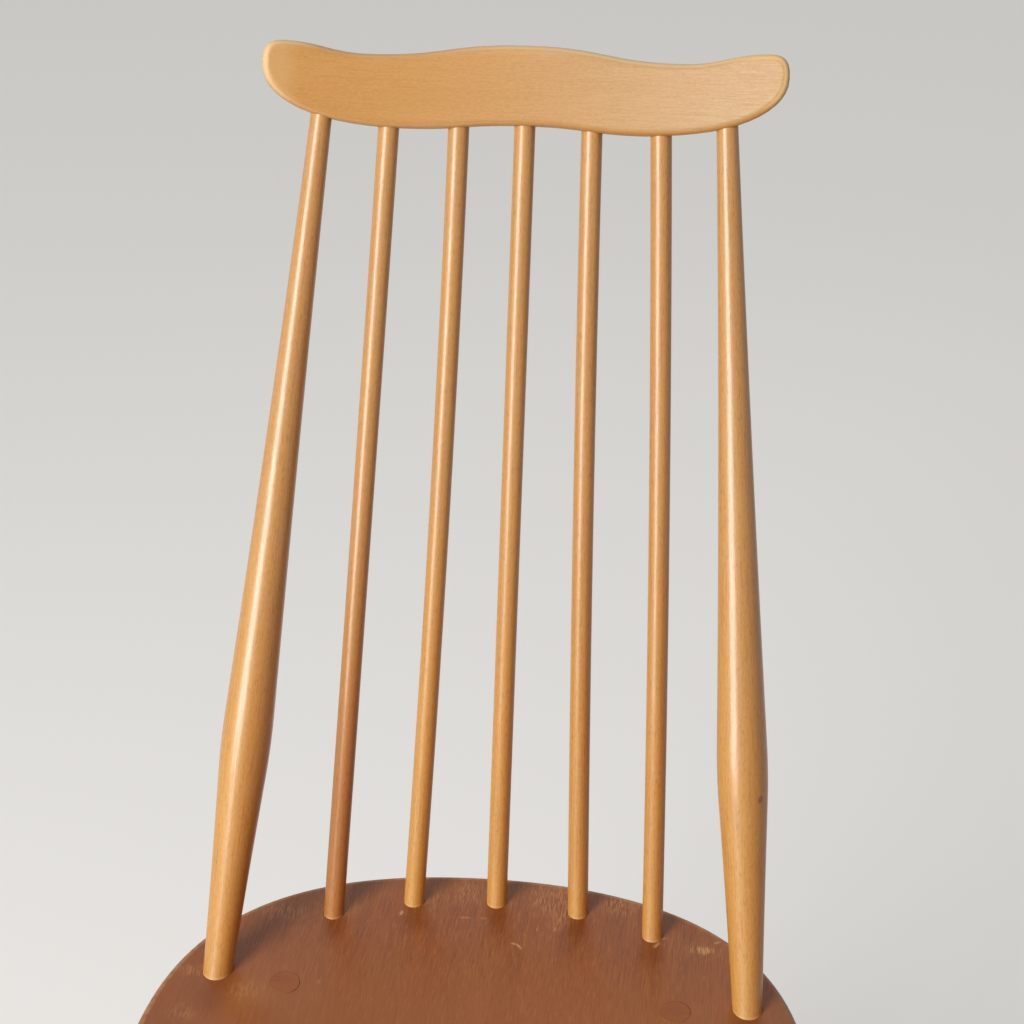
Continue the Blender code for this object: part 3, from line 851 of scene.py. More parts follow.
# Spots of the seat's top are told by their middle's x and y, half width and half depth before any
# turn, strength and, where they are turned, the turn in degrees. These are worn and scratched ones.
SEAT_MARKS = (
    (-0.0655, 0.0619, 0.0030, 0.0016, 0.9, 80.0),
    (-0.0200, 0.0617, 0.0055, 0.0012, 0.55, 2.0),
    (-0.0067, 0.0623, 0.0028, 0.0012, 0.45, 5.0),
    (0.0178, 0.0381, 0.0030, 0.0010, 0.9, -12.0),
    (0.0213, 0.0358, 0.0034, 0.0011, 1.0, -52.0),
    (0.0442, 0.0558, 0.0034, 0.0010, 0.6, 84.0),
    (0.0320, 0.0551, 0.0026, 0.0009, 0.45, 80.0),
    (0.1578, 0.0544, 0.0030, 0.0012, 0.7, 30.0),
    (0.1162, 0.0475, 0.0042, 0.0016, 0.9, 62.0),
    (0.1192, 0.0546, 0.0036, 0.0018, 0.5, 10.0),
    (-0.1098, -0.0154, 0.0022, 0.0016, 0.2, 90.0),
)
# Where the finish has worn thin near the back edge
SEAT_WORN_PATCHES = (
    (0.040, 0.090, 0.022, 0.026, 0.9),
    (-0.021, 0.090, 0.014, 0.020, 0.7),
    (0.046, 0.070, 0.010, 0.016, 0.8),
    (0.087, 0.088, 0.020, 0.016, 0.7),
    (-0.148, 0.055, 0.022, 0.012, 0.8),
    (-0.110, 0.066, 0.020, 0.016, 0.6),
    (-0.050, 0.078, 0.024, 0.022, 0.4),
    (0.1480, 0.0450, 0.013, 0.0055, 1.9),
    (0.150, 0.046, 0.034, 0.014, 0.35),
    (-0.157, -0.031, 0.018, 0.014, 0.5),
    (-0.199, -0.014, 0.013, 0.007, 0.7),
    (-0.194, -0.056, 0.012, 0.011, 0.5),
)
# Painted sheen: where the seat looks paler over a wider patch
SEAT_PAINTED_SHEEN = (-0.156, -0.034, 0.022, 0.022, 0.5)
# Dark hairlines beside the wedge in the left rear plug, and a stain on each rear plug
PLUG_HAIRLINES = (
    (-0.1385, -0.0142, 0.0032, 0.0006, 0.40, -3.0),
    (-0.1392, -0.0178, 0.0034, 0.0004, 0.32, -3.0),
)
PLUG_STAINS = (
    (-0.1345, -0.0165, 0.0080, 0.0050, 0.55, -10.0),
    (0.1330, -0.0175, 0.0085, 0.0060, 0.40, 5.0),
)
# Where an oval's edge starts and where it is full, for a mark, a worn patch and the painted sheen
MARK_EDGE = (1.15, 0.55)
PATCH_EDGE = (1.2, 0.2)
SHEEN_EDGE = (1.3, 0.1)
# Painted shade and reflection in front of each stick's foot, a deeper patch: its tint and edge, how
# much nearer the middle it lies, how far to the right and how many of its half depths in front, and
# its half width and half depth before a post and before a spindle
FOOT_SHADE = (0.78, 0.66, 0.54)
FOOT_SHADE_EDGE = (1.25, 0.1)
FOOT_SHADE_SPREAD = 0.99
FOOT_SHADE_SLIP = 0.0025
FOOT_SHADE_AHEAD = 0.8
POST_SHADE = (0.0150, 0.030)
SPINDLE_SHADE = (0.0100, 0.022)
# The seat's wood where its stain is gone, and the painted highlight along its rounded rim
BARE_AND_SHEEN_TONE = (1.90, 3.20, 5.40)


def oval(shade, place, x, y, half_x, half_y, turned=0.0):
    """How far a place on the seat's top lies from the middle of a turned oval: 1 is on its rim."""
    return far_from(shade, place, (x, y, SEAT_TOP), (half_x, half_y, 1.0), turned)


def spots_at(shade, place, spots, edge):
    """Where any of the spots shows, as strongly as it says, inside its soft edge."""
    shown = 0.0
    for x, y, half_x, half_y, strength, *turned in spots:
        far = oval(shade, place, x, y, half_x, half_y, *turned)
        shown = shade.most(shade.rise(far, *edge, 0.0, strength), shown)
    return shown


def make_seat_wood(name, base):
    """The seat's stained plank: fine streaks from front to back under a worn satin finish."""
    wood = Wood(name, base, (0.88, 0.84, 0.82))
    grain = wood.grain()
    place = wood.place()
    x = wood.along(place, "X")
    bands = wood.noise(grain, (70.0, 60.0, 2.6), detail=4.0, distortion=0.6)
    cloud = wood.noise(grain, (16.0, 16.0, 9.0))
    streaks = wood.noise(grain, (820.0, 820.0, 36.0), detail=3.0)
    dashes = wood.noise(grain, (1250.0, 1250.0, 95.0))
    fibres = wood.noise(grain, (2100.0, 2100.0, 140.0))
    wood.layers(
        (
            (bands, 0.30, 0.70, 1.0, (1.10, 1.14, 1.20)),
            (cloud, 0.35, 0.65, 0.6, (1.04, 0.92, 0.76)),
            (streaks, 0.48, 0.28, 0.85, (0.66, 0.58, 0.56)),
            (streaks, 0.55, 0.74, 0.58, (1.30, 1.70, 2.30)),
            (dashes, 0.56, 0.74, 0.78, (1.34, 1.90, 2.70)),
            (dashes, 0.44, 0.28, 0.85, (0.62, 0.52, 0.50)),
            (fibres, 0.35, 0.68, 0.30, (0.78, 0.72, 0.70)),
            # Painted sheen: paler towards the front
            (wood.along(place, "Y"), 0.055, -0.035, 0.5, (1.12, 1.26, 1.42)),
        )
    )
    # Painted shade: darker towards the seat's left and right ends
    wood.tint(wood.rise(x, -0.160, -0.200), (0.87, 0.81, 0.76))
    wood.tint(wood.rise(x, 0.185, 0.212), (0.84, 0.87, 0.86))
    # Painted sheen on a wide patch at the left front
    wood.tone(spots_at(wood, place, [SEAT_PAINTED_SHEEN], SHEEN_EDGE), (1.25, 1.60, 2.20))
    # Painted shade and reflection of each stick on the seat, in front of its foot
    for share in (-1.0, *SPINDLE_FOOT_SHARES, 1.0):
        half_x, half_y = POST_SHADE if abs(share) == 1.0 else SPINDLE_SHADE
        foot_x = share * POST_FOOT_X
        middle_x = FOOT_SHADE_SPREAD * foot_x + FOOT_SHADE_SLIP
        middle_y = deck_y(foot_x) - FOOT_SHADE_AHEAD * half_y
        far = oval(wood, place, middle_x, middle_y, half_x, half_y)
        wood.tint(wood.rise(far, *FOOT_SHADE_EDGE), FOOT_SHADE)

    stroke = wood.rise(wood.noise(grain, (1350.0, 1350.0, 150.0)), 0.44, 0.62)
    worn = wood.times(spots_at(wood, place, SEAT_WORN_PATCHES, PATCH_EDGE), stroke)
    wood.tone(wood.times(worn, 0.62), BARE_AND_SHEEN_TONE)
    # Painted highlight with some wear: the rounded rim turns pale where it faces up, less to the
    # right
    rim = wood.rise(wood.attribute("rim"), 0.1, 0.9, 0.0, 0.55)
    rim = wood.times(wood.rise(wood.facing("Z"), 0.30, 0.75), rim)
    patchy = wood.rise(wood.noise(place, (190.0, 190.0, 190.0), detail=3.0), 0.32, 0.60, 0.25, 0.8)
    kept = wood.rise(x, 0.12, 0.20, 1.0, 0.15)
    wood.tone(wood.times(wood.times(rim, patchy), kept), BARE_AND_SHEEN_TONE)
    ragged = wood.rise(wood.noise(place, (900.0, 900.0, 900.0)), 0.30, 0.50)
    wood.tone(wood.times(spots_at(wood, place, SEAT_MARKS, MARK_EDGE), ragged), BARE_AND_SHEEN_TONE)

    roughness = wood.rise(streaks, 0.30, 0.70, 0.28, 0.40)
    relief = wood.maths("ADD", streaks, wood.times(dashes, 0.7))
    return wood.finished(roughness, 0.42, relief, 0.00006, coat=0.16, coat_roughness=0.22)


def make_end_grain(name, base, contrast, roughness):
    """Stained end grain, as the wedges and the legs' tops show it."""
    wood = Wood(name, base, (1 - contrast,) * 3)
    place = wood.place()
    specks = wood.noise(place, (450.0, 1900.0, 1900.0), detail=3.0)
    wood.tone(wood.rise(specks, 0.30, 0.70), (1 + contrast,) * 3)
    wood.tone(spots_at(wood, place, PLUG_STAINS, MARK_EDGE), (0.92, 0.80, 1.15))
    wood.tone(spots_at(wood, place, PLUG_HAIRLINES, MARK_EDGE), (0.50, 0.38, 0.60))
    return wood.finished(roughness, 0.42, specks, 0.00004 * contrast)


def finish_of(name):
    """The wood of that name, made the first time that it is asked for."""
    made = bpy.data.materials.get(name)
    if made is not None:
        return made
    colours = bpy.context.scene.windsor_colours
    if name == "seat elm":
        return make_seat_wood(name, colours.seat)
    if name == "plug end grain":
        return make_end_grain(name, toned(colours.seat, (1.02, 1.05, 1.15)), 0.08, 0.36)
    if name == "wedge end grain":
        return make_end_grain(name, colours.wedge, 0.28, 0.5)
    looks = BEECH_LOOKS[name]
    return make_beech(name, getattr(colours, looks["colour"]), looks)


# Places that several pieces share


def rail_frame():
    """The rail's frame: X along it, Z up its raked face, Y out of its back."""
    foot_y = SEAT_BACK_Y - STICK_INSET + BACK_RISE * math.tan(BACK_RAKE)
    place = Vector((0.0, foot_y, SEAT_TOP + BACK_RISE))
    return Matrix.Translation(place) @ Matrix.Rotation(-BACK_RAKE, 4, "X")


def deck_y(x):
    """How far back a stick stands whose foot is x from the middle."""
    width = SEAT_HALF_WIDTH - STICK_INSET
    depth = SEAT_BACK_DEPTH - STICK_INSET
    share = (1 - abs(x / width) ** STICK_LINE_POWER) ** (1 / STICK_LINE_POWER)
    return SEAT_WIDE_Y + depth * share


def stick_ends(foot_x, reach, bend_radius):
    """A stick's foot on the seat's top and the middle of its socket in the rail."""
    foot = Vector((foot_x, deck_y(foot_x), SEAT_TOP))
    angle = reach / bend_radius
    across = bend_radius * math.sin(angle)
    back = bend_radius * math.cos(angle) - bend_radius
    return foot, rail_frame() @ Vector((across, back + HEAD_SETBACK, RAIL_SOCKET_DEPTH / 2))


def post_places(sizes):
    """Each post's side, foot, head and bow."""
    for (side, sign), (foot_slip, head_slip, bow) in zip(SIDES, POST_SPRINGS):
        foot_x = sign * POST_FOOT_X + foot_slip
        reach = sign * POST_HEAD_REACH + head_slip
        yield side, *stick_ends(foot_x, reach, sizes.rail_bend_radius), bow


def spindle_places(sizes):
    """Each spindle's foot, head and bow, from left to right."""
    for foot, head, (foot_slip, head_slip, bow) in zip(
        SPINDLE_FOOT_SHARES, SPINDLE_HEAD_SHARES, SPINDLE_SPRINGS
    ):
        foot_x = foot * POST_FOOT_X + foot_slip
        reach = head * POST_HEAD_REACH + head_slip
        yield *stick_ends(foot_x, reach, sizes.rail_bend_radius), bow


def inside_seat(foot, head):
    """How much of a post's length is inside the seat."""
    return (SEAT_TOP - SEAT_UNDERSIDE) * (head - foot).length / (head - foot).z


def leg_places():
    """Each leg's name, its foot on the floor and its tenon's middle at the seat's top."""
    for end, (foot_x, foot_y), (x, y) in (
        ("front", FRONT_FOOT, FRONT_LEG),
        ("rear", REAR_FOOT, REAR_LEG),
    ):
        for side, sign in SIDES:
            foot = Vector((sign * foot_x, foot_y, 0.0))
            yield f"{end}_{side}", foot, Vector((sign * x, y, SEAT_TOP))


def leg_knees():
    """Where each leg's axis passes the height of the stretchers."""
    return {
        place: foot.lerp(head, STRETCHER_HEIGHT / head.z) for place, foot, head in leg_places()
    }


def stretcher_places():
    """Each stretcher's name and the axes that it runs between."""
    knees = leg_knees()
    middles = {}
    for side, _ in SIDES:
        front, rear = knees[f"front_{side}"], knees[f"rear_{side}"]
        middles[side] = (front + rear) / 2
        yield side, front, rear
    yield "cross", middles["left"], middles["right"]


# Seat


def seat_knots():
    """The seat's plan as four knots, their handles long enough for its squareness."""

    def reach(power):
        """The share of a side that its handle takes, so that half way a cubic has that power."""
        return (2 ** (-1 / power) - 1 / 2) / (3 / 8)

    back, front = reach(SEAT_BACK_POWER), reach(SEAT_FRONT_POWER)
    back_depth = SEAT_BACK_Y - SEAT_WIDE_Y
    front_depth = SEAT_WIDE_Y - SEAT_FRONT_Y
    left, right = (SEAT_HALF_WIDTH - trim for trim in SEAT_TRIMS)
    left_full, right_full = (back + fullness for fullness in SEAT_FULLNESS)

    def at(x, y):
        return Vector((x, y, SEAT_TOP))

    wide_front = SEAT_WIDE_Y - front * front_depth
    left_back = SEAT_WIDE_Y + left_full * back_depth
    right_back = SEAT_WIDE_Y + right_full * back_depth
    right_corner, left_corner = right * right_full, -left * left_full
    return (
        (at(right, wide_front), at(right, SEAT_WIDE_Y), at(right, right_back)),
        (at(right_corner, SEAT_BACK_Y), at(0, SEAT_BACK_Y), at(left_corner, SEAT_BACK_Y)),
        (at(-left, left_back), at(-left, SEAT_WIDE_Y), at(-left, wide_front)),
        (at(-left * front, SEAT_FRONT_Y), at(0, SEAT_FRONT_Y), at(right * front, SEAT_FRONT_Y)),
    )


def shape_plank(edge_round):
    """In edit mode: the outline becomes a plank with a round upper edge and a lower chamfer."""
    bevel_z = SEAT_UNDERSIDE + SEAT_BEVEL_RISE
    middle = Vector((0.0, (SEAT_FRONT_Y + SEAT_BACK_Y) / 2, SEAT_UNDERSIDE))
    depth = (SEAT_BACK_Y - SEAT_FRONT_Y) / 2
    pick_all()
    bpy.ops.mesh.edge_face_add()
    extrude(Vector((0.0, 0.0, bevel_z - SEAT_TOP)))
    extrude(Vector((0.0, 0.0, SEAT_UNDERSIDE - bevel_z)))
    narrow = 1 - SEAT_BEVEL_WIDTH / SEAT_HALF_WIDTH
    resize((narrow, 1 - SEAT_BEVEL_WIDTH / depth, 1.0), middle)
    round_edges(lies_at("z", SEAT_TOP), edge_round)
    for level in (bevel_z, SEAT_UNDERSIDE):
        round_edges(lies_at("z", level), SEAT_LOWER_ROUND, SMALL_ROUND_STEPS)


def hollow_dish(dish_depth):
    """In edit mode: the flat top opens into an oval dish, drawn in ring by ring to its middle."""
    on_top = lies_at("z", SEAT_TOP)
    pick("FACE", on_top)
    bpy.ops.mesh.inset(thickness=SEAT_RIM)
    bpy.ops.mesh.delete(type="ONLY_FACE")
    centre = Vector((0.0, DISH_Y, SEAT_TOP))
    bpy.ops.mesh.select_all(action="DESELECT")
    bpy.ops.mesh.primitive_circle_add(
        vertices=4 * OUTLINE_STEPS, radius=1.0, fill_type="NOTHING", location=centre
    )
    resize((DISH_HALF_WIDTH, DISH_HALF_DEPTH, 1.0), centre)
    pick("EDGE", lambda edge: on_top(edge) and len(edge.link_faces) < 2)
    bpy.ops.mesh.fill(use_beauty=True)
    pick("EDGE", lambda edge: on_top(edge) and edge.is_boundary)
    depth, share = 0.0, 1.0
    for new_share in steps(1.0, 0.0, DISH_RINGS)[1:-1]:
        new_depth = dish_depth * (1 - new_share**2) ** 2
        extrude(Vector((0.0, 0.0, depth - new_depth)))
        shrink = new_share / share
        resize((shrink, shrink, 1.0), centre)
        depth, share = new_depth, new_share
    bpy.ops.mesh.merge(type="CENTER")
    half_way = (SEAT_TOP + SEAT_UNDERSIDE) / 2
    pick("VERT", lambda vert: (vert.co.xy - centre.xy).length < NEAR and vert.co.z > half_way)
    bpy.ops.transform.translate(value=(0.0, 0.0, depth - dish_depth))


def seat_bits(sizes):
    """The bits that bore the seat for the legs, the posts and the spindles."""
    bits = []
    for _, foot, head in leg_places():
        reach = (head - foot).length
        through = reach * (SEAT_TOP - SEAT_UNDERSIDE) / SEAT_TOP + OVERRUN
        radius = sizes.leg_tenon_radius + BORE_SLIP.length + HAIR_GAP
        start, end = foot + BORE_SLIP, head + BORE_SLIP
        bits.append(bit(start, end, reach - through, reach + OVERRUN, radius, TURNED_SIDES))
    for _, foot, head, _ in post_places(sizes):
        low = -inside_seat(foot, head) - OVERRUN
        radius = sizes.post_foot_radius + FIT_GAP
        bits.append(bit(foot, head, low, OVERRUN, radius, TURNED_SIDES))
    for foot, head, _ in spindle_places(sizes):
        radius = sizes.spindle_radius + FIT_GAP
        low = -SPINDLE_SOCKET_DEPTH - FIT_GAP
        bits.append(bit(foot, head, low, OVERRUN, radius, SPINDLE_SIDES))
    return bits


class WINDSOR_OT_add_seat(Operator):
    """Model the shaped plank seat with its sockets"""

    bl_idname = "windsor.add_seat"
    bl_label = "Seat"

    def execute(self, context):
        sizes = context.scene.windsor_sizes
        piece = draw_outline("seat_plank", seat_knots(), OUTLINE_STEPS)
        edit(piece)
        shape_plank(sizes.seat_edge_round)
        hollow_dish(sizes.dish_depth)
        face_outwards()
        leave_edit()
        cut_away(piece, seat_bits(sizes))
        smooth(piece, weighted=True)
        mark_grain(piece, lambda co: Vector((co.x + SEAT_WOOD_SHIFT, co.z, co.y)))
        mark_seat_rim(piece, sizes.seat_edge_round)
        finish(piece, "seat", "seat elm")
        return {"FINISHED"}


# Top rail


def rail_knots(half_length, height, y):
    """The flat rail's outline, clockwise from the middle of its top, at that depth."""

    def reached(knot, side, drop=0.0):
        further = RAIL_TIP_REACH[side]
        moved = []
        for along, up in knot:
            in_hollow = along < RAIL_HOLLOW_END and up > 0.5
            moved.append((along + further * (along > RAIL_TIP_START), up - drop * in_hollow))
        return moved

    def mirrored(knot):
        return [(-along, up) for along, up in reversed(knot)]

    right = [reached(knot, "right", RAIL_RIGHT_DROP) for knot in RAIL_KNOT_SHARES[1:-1]]
    left = [mirrored(reached(knot, "left")) for knot in RAIL_KNOT_SHARES[-2:0:-1]]
    shares = [RAIL_KNOT_SHARES[0], *right, RAIL_KNOT_SHARES[-1], *left]
    return [
        [Vector((along * half_length, y, up * height)) for along, up in knot] for knot in shares
    ]


def shape_board(sizes):
    """In edit mode: the outline becomes a board with round edges, in strips that can bend."""
    half = sizes.rail_thickness / 2
    pick_all()
    bpy.ops.mesh.edge_face_add()
    extrude(Vector((0.0, sizes.rail_thickness, 0.0)))
    for share in RAIL_THIN_STARTS:
        start = share * sizes.rail_half_length
        pick("VERT", lambda vert, start=start: vert.co.y > 0 and vert.co.x > start)
        centre = (start, half, RAIL_THIN_HEIGHT * sizes.rail_height)
        resize((RAIL_THIN_SHARE, 1.0, RAIL_THIN_SHARE), centre)
    for y in (-half, half):
        round_edges(lies_at("y", y), sizes.rail_edge_round)
    pick("FACE", ends_pass(lambda co: abs(abs(co.y) - half) < NEAR))
    bpy.ops.mesh.inset(thickness=RAIL_SUPPORT)
    count = round(2 * sizes.rail_half_length / RAIL_STRIP)
    for x in steps(-sizes.rail_half_length, sizes.rail_half_length, count)[1:-1]:
        pick_all()
        bpy.ops.mesh.bisect(plane_co=(x, 0.0, 0.0), plane_no=X_AXIS)


def bend_board(piece, sizes):
    """Bends the flat board in plan, its tips forward."""
    bend = piece.modifiers.new("bend", "SIMPLE_DEFORM")
    bend.deform_method = "BEND"
    bend.deform_axis = "Z"
    reach = (2 + sum(RAIL_TIP_REACH.values())) * sizes.rail_half_length
    bend.angle = -reach / sizes.rail_bend_radius
    activate(piece)
    bpy.ops.object.modifier_apply(modifier=bend.name)


def rail_bits(sizes):
    """The bits that bore the rail's underside for the sticks."""
    post, spindle = sizes.post_head_radius, sizes.spindle_radius
    sticks = [(foot, head, post, TURNED_SIDES) for _, foot, head, _ in post_places(sizes)]
    sticks += [(foot, head, spindle, SPINDLE_SIDES) for foot, head, _ in spindle_places(sizes)]
    bits = []
    for foot, head, radius, sides in sticks:
        reach = (head - foot).length
        low = reach - RAIL_SOCKET_DEPTH / 2 - OVERRUN
        high = reach + RAIL_SOCKET_DEPTH / 2 + FIT_GAP
        bits.append(bit(foot, head, low, high, radius + FIT_GAP, sides))
    return bits


class WINDSOR_OT_add_top_rail(Operator):
    """Model the bent top rail with its up-swept tips and its sockets"""

    bl_idname = "windsor.add_top_rail"
    bl_label = "Top rail"

    def execute(self, context):
        sizes = context.scene.windsor_sizes
        flat_front = -sizes.rail_thickness / 2
        knots = rail_knots(sizes.rail_half_length, sizes.rail_height, flat_front)
        piece = draw_outline("top_rail", knots, RAIL_STEPS)
        edit(piece)
        shape_board(sizes)
        face_outwards()
        leave_edit()
        bend_board(piece, sizes)
        piece.matrix_world = rail_frame()
        activate(piece)
        apply_place()
        radius = sizes.rail_bend_radius
        back = rail_frame().inverted()

        def place_in_wood(co):
            x, y, z = back @ co
            along = radius * math.atan2(x, y + radius)
            depth = math.hypot(x, y + radius) - radius
            return Vector((depth + RAIL_WOOD_SHIFT, z, along))

        cut_away(piece, rail_bits(sizes))
        smooth(piece, weighted=True)
        mark_grain(piece, place_in_wood)
        finish(piece, "crest_rail", "rail beech")
        return {"FINISHED"}


# Sticks


def post_radius(share, sizes):
    """The post's radius at a share of its height: a quick rise to the swell, then a long fall."""
    swell, foot, head = sizes.post_swell_radius, sizes.post_foot_radius, sizes.post_head_radius
    if share < POST_SWELL_SHARE:
        return foot + (swell - foot) * (max(share, 0.0) / POST_SWELL_SHARE) ** POST_RISE_POWER
    fall = (share - POST_SWELL_SHARE) / (1 - POST_SWELL_SHARE)
    return swell - (swell - head) * (fall + POST_HOLLOW_SHARE * fall * (1 - fall))


def post_profile(low_end, reach, sizes):
    """A post along its axis, with its swell rounded over between its two tapers."""
    clear = reach - RAIL_SOCKET_DEPTH / 2
    low = POST_SWELL_SHARE - POST_FILLET_SHARE
    high = POST_SWELL_SHARE + POST_FILLET_SHARE
    profile = [(low_end, sizes.post_foot_radius)]
    for share in steps(0.0, low, TURNED_STEPS):
        profile.append((share * clear, post_radius(share, sizes)))
    for part in steps(0.0, 1.0, TURNED_STEPS)[1:]:
        size = (
            post_radius(low, sizes) * (1 - part) ** 2
            + 2 * sizes.post_swell_radius * part * (1 - part)
            + post_radius(high, sizes) * part**2
        )
        profile.append(((low + (high - low) * part) * clear, size))
    for share in steps(high, 1.0, 2 * TURNED_STEPS)[1:]:
        profile.append((share * clear, post_radius(share, sizes)))
    return profile + stick_top(reach, sizes.post_head_radius)


def stick_top(reach, radius):
    """The chamfered end that a stick has inside the rail."""
    end = reach + RAIL_SOCKET_DEPTH / 2
    return [(end - END_CHAMFER, radius), (end, radius - END_CHAMFER)]


def spindle_profile(reach, radius):
    """A spindle along its axis, from its chamfered end in the seat to the one in the rail."""
    bottom = -SPINDLE_SOCKET_DEPTH
    clear = reach - RAIL_SOCKET_DEPTH / 2
    profile = [(bottom, radius - END_CHAMFER), (bottom + END_CHAMFER, radius)]
    profile += [(along, radius) for along in steps(0.0, clear, 2 * TURNED_STEPS)]
    return profile + stick_top(reach, radius)


class WINDSOR_OT_add_posts(Operator):
    """Turn the two outer sticks that swell low down and pass through the seat"""

    bl_idname = "windsor.add_posts"
    bl_label = "Posts"

    def execute(self, context):
        sizes = context.scene.windsor_sizes
        for i, (side, foot, head, bow) in enumerate(post_places(sizes)):
            through = inside_seat(foot, head)
            profile = post_profile(-through - OVERRUN, (head - foot).length, sizes)
            piece = turn(f"back_post_{side}", foot, head, profile, TURNED_SIDES, bow)
            edit(piece)
            cut_level(SEAT_UNDERSIDE, keep_above=True)
            face_outwards()
            leave_edit()
            bottom = foot - (head - foot).normalized() * through
            cut_away(piece, [kerf(foot, bottom, sizes.post_foot_radius)])
            number = WOOD_NUMBERS["post"] + i
            node = f"post_{side}"
            finish_turned(piece, foot, head, number, node, "post beech")
        return {"FINISHED"}


class WINDSOR_OT_add_spindles(Operator):
    """Turn the five slender sticks between the posts"""

    bl_idname = "windsor.add_spindles"
    bl_label = "Spindles"

    def execute(self, context):
        sizes = context.scene.windsor_sizes
        for i, (foot, head, bow) in enumerate(spindle_places(sizes)):
            profile = spindle_profile((head - foot).length, sizes.spindle_radius)
            name = f"back_spindle_{i + 1}"
            piece = turn(name, foot, head, profile, SPINDLE_SIDES, bow)
            number = WOOD_NUMBERS["spindle"] + i
            node = f"spindle_{i + 1}"
            finish_turned(piece, foot, head, number, node, "stick beech")
            mark_tone_and_shadow(piece, *SPINDLE_TONES_AND_SHADOW[i])
        return {"FINISHED"}


# Legs and stretchers


def leg_profile(reach, sizes):
    """A leg along its axis, from past its foot to past its tenon's top."""
    body = reach * SEAT_UNDERSIDE / SEAT_TOP - LEG_NECK
    swell = body * LEG_SWELL_SHARE
    below = 2 * sizes.leg_foot_radius
    below -= taper(OVERRUN / swell, sizes.leg_foot_radius, sizes.leg_swell_radius)
    profile = [(-OVERRUN, below)]
    for share in steps(0.0, 1.0, TURNED_STEPS)[1:]:
        size = taper(share, sizes.leg_foot_radius, sizes.leg_swell_radius)
        profile.append((swell * share, size))
    for share in steps(1.0, 0.0, TURNED_STEPS)[1:]:
        size = taper(share, sizes.leg_tenon_radius, sizes.leg_swell_radius)
        profile.append((body - (body - swell) * share, size))
    return profile + [(reach + OVERRUN, sizes.leg_tenon_radius)]


def stretcher_profile(half, wall, swell):
    """A stretcher along its axis, from tenon to tenon, with its swell in the middle."""
    body = half - wall - STRETCHER_NECK
    rising = [
        (half - body * (1 - share), taper(share, STRETCHER_TENON_RADIUS, swell))
        for share in steps(0.0, 1.0, TURNED_STEPS)
    ]
    falling = [(2 * half - along, radius) for along, radius in reversed(rising[:-1])]
    near_end = (-TENON_PAST_AXIS, STRETCHER_TENON_RADIUS)
    far_end = (2 * half + TENON_PAST_AXIS, STRETCHER_TENON_RADIUS)
    return [near_end, *rising, *falling, far_end]


def stretcher_bit(start, end, wall):
    """The bit that bores a piece at start for the tenon of the stretcher that runs to end."""
    radius = STRETCHER_TENON_RADIUS + FIT_GAP
    return bit(start, end, -TENON_PAST_AXIS - FIT_GAP, wall + OVERRUN, radius, TURNED_SIDES)


class WINDSOR_OT_add_legs(Operator):
    """Turn the four splayed legs, wedged through the seat"""

    bl_idname = "windsor.add_legs"
    bl_label = "Legs"

    def execute(self, context):
        sizes = context.scene.windsor_sizes
        knees = leg_knees()
        for i, (place, foot, head) in enumerate(leg_places()):
            profile = leg_profile((head - foot).length, sizes)
            piece = turn(f"turned_leg_{place}", foot, head, profile, TURNED_SIDES)
            edit(piece)
            cut_level(SEAT_TOP, keep_above=False)
            cut_level(0.0, keep_above=True)
            round_edges(lies_at("z", 0.0), FOOT_ROUND, SMALL_ROUND_STEPS)
            face_outwards()
            leave_edit()

            end, side = place.split("_")
            partner = knees[f"rear_{side}" if end == "front" else f"front_{side}"]
            socket = stretcher_bit(knees[place], partner, sizes.leg_swell_radius)
            cut_away(piece, [kerf(foot, head, sizes.leg_tenon_radius), socket])
            number = WOOD_NUMBERS["leg"] + i
            finish_turned(piece, foot, head, number, f"leg_{place}", "leg beech")
            piece.data.materials.append(finish_of("plug end grain"))
            for face in piece.data.polygons:
                if face.normal.z > LEVEL and face.center.z > SEAT_TOP - NEAR:
                    face.material_index = 1
        return {"FINISHED"}


class WINDSOR_OT_add_stretchers(Operator):
    """Turn the three stretchers, joined in an H"""

    bl_idname = "windsor.add_stretchers"
    bl_label = "Stretchers"

    def execute(self, context):
        sizes = context.scene.windsor_sizes
        places = list(stretcher_places())
        cross = places[-1]
        for i, (name, start, end) in enumerate(places):
            if name == "cross":
                swell, wall = sizes.cross_stretcher_radius, sizes.side_stretcher_radius
            else:
                swell, wall = sizes.side_stretcher_radius, sizes.leg_swell_radius
            profile = stretcher_profile((end - start).length / 2, wall, swell)
            piece = turn(f"turned_stretcher_{name}", start, end, profile, TURNED_SIDES)
            if name != "cross":
                near, far = cross[1:] if name == "left" else cross[:0:-1]
                cut_away(piece, [stretcher_bit(near, far, sizes.side_stretcher_radius)])
            number = WOOD_NUMBERS["stretcher"] + i
            node = f"stretcher_{name}"
            finish_turned(piece, start, end, number, node, "leg beech")
        return {"FINISHED"}


class WINDSOR_OT_finish_wedges(Operator):
    """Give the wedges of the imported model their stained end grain"""

    bl_idname = "windsor.finish_wedges"
    bl_label = "Wedges"

    def execute(self, context):
        for name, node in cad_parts.items():
            if "wedge" in name:
                stained = "plug end grain" if name.startswith("leg") else "wedge end grain"
                node.data.materials.clear()
                node.data.materials.append(finish_of(stained))
        return {"FINISHED"}


# Stage


def seen(shade):
    """1 for a ray from the camera or from a shiny or clear surface, which sees the floor."""
    path = shade.add("LightPath", {}).outputs
    either = shade.most(path["Is Camera Ray"], path["Is Glossy Ray"])
    return shade.most(either, path["Is Transmission Ray"])


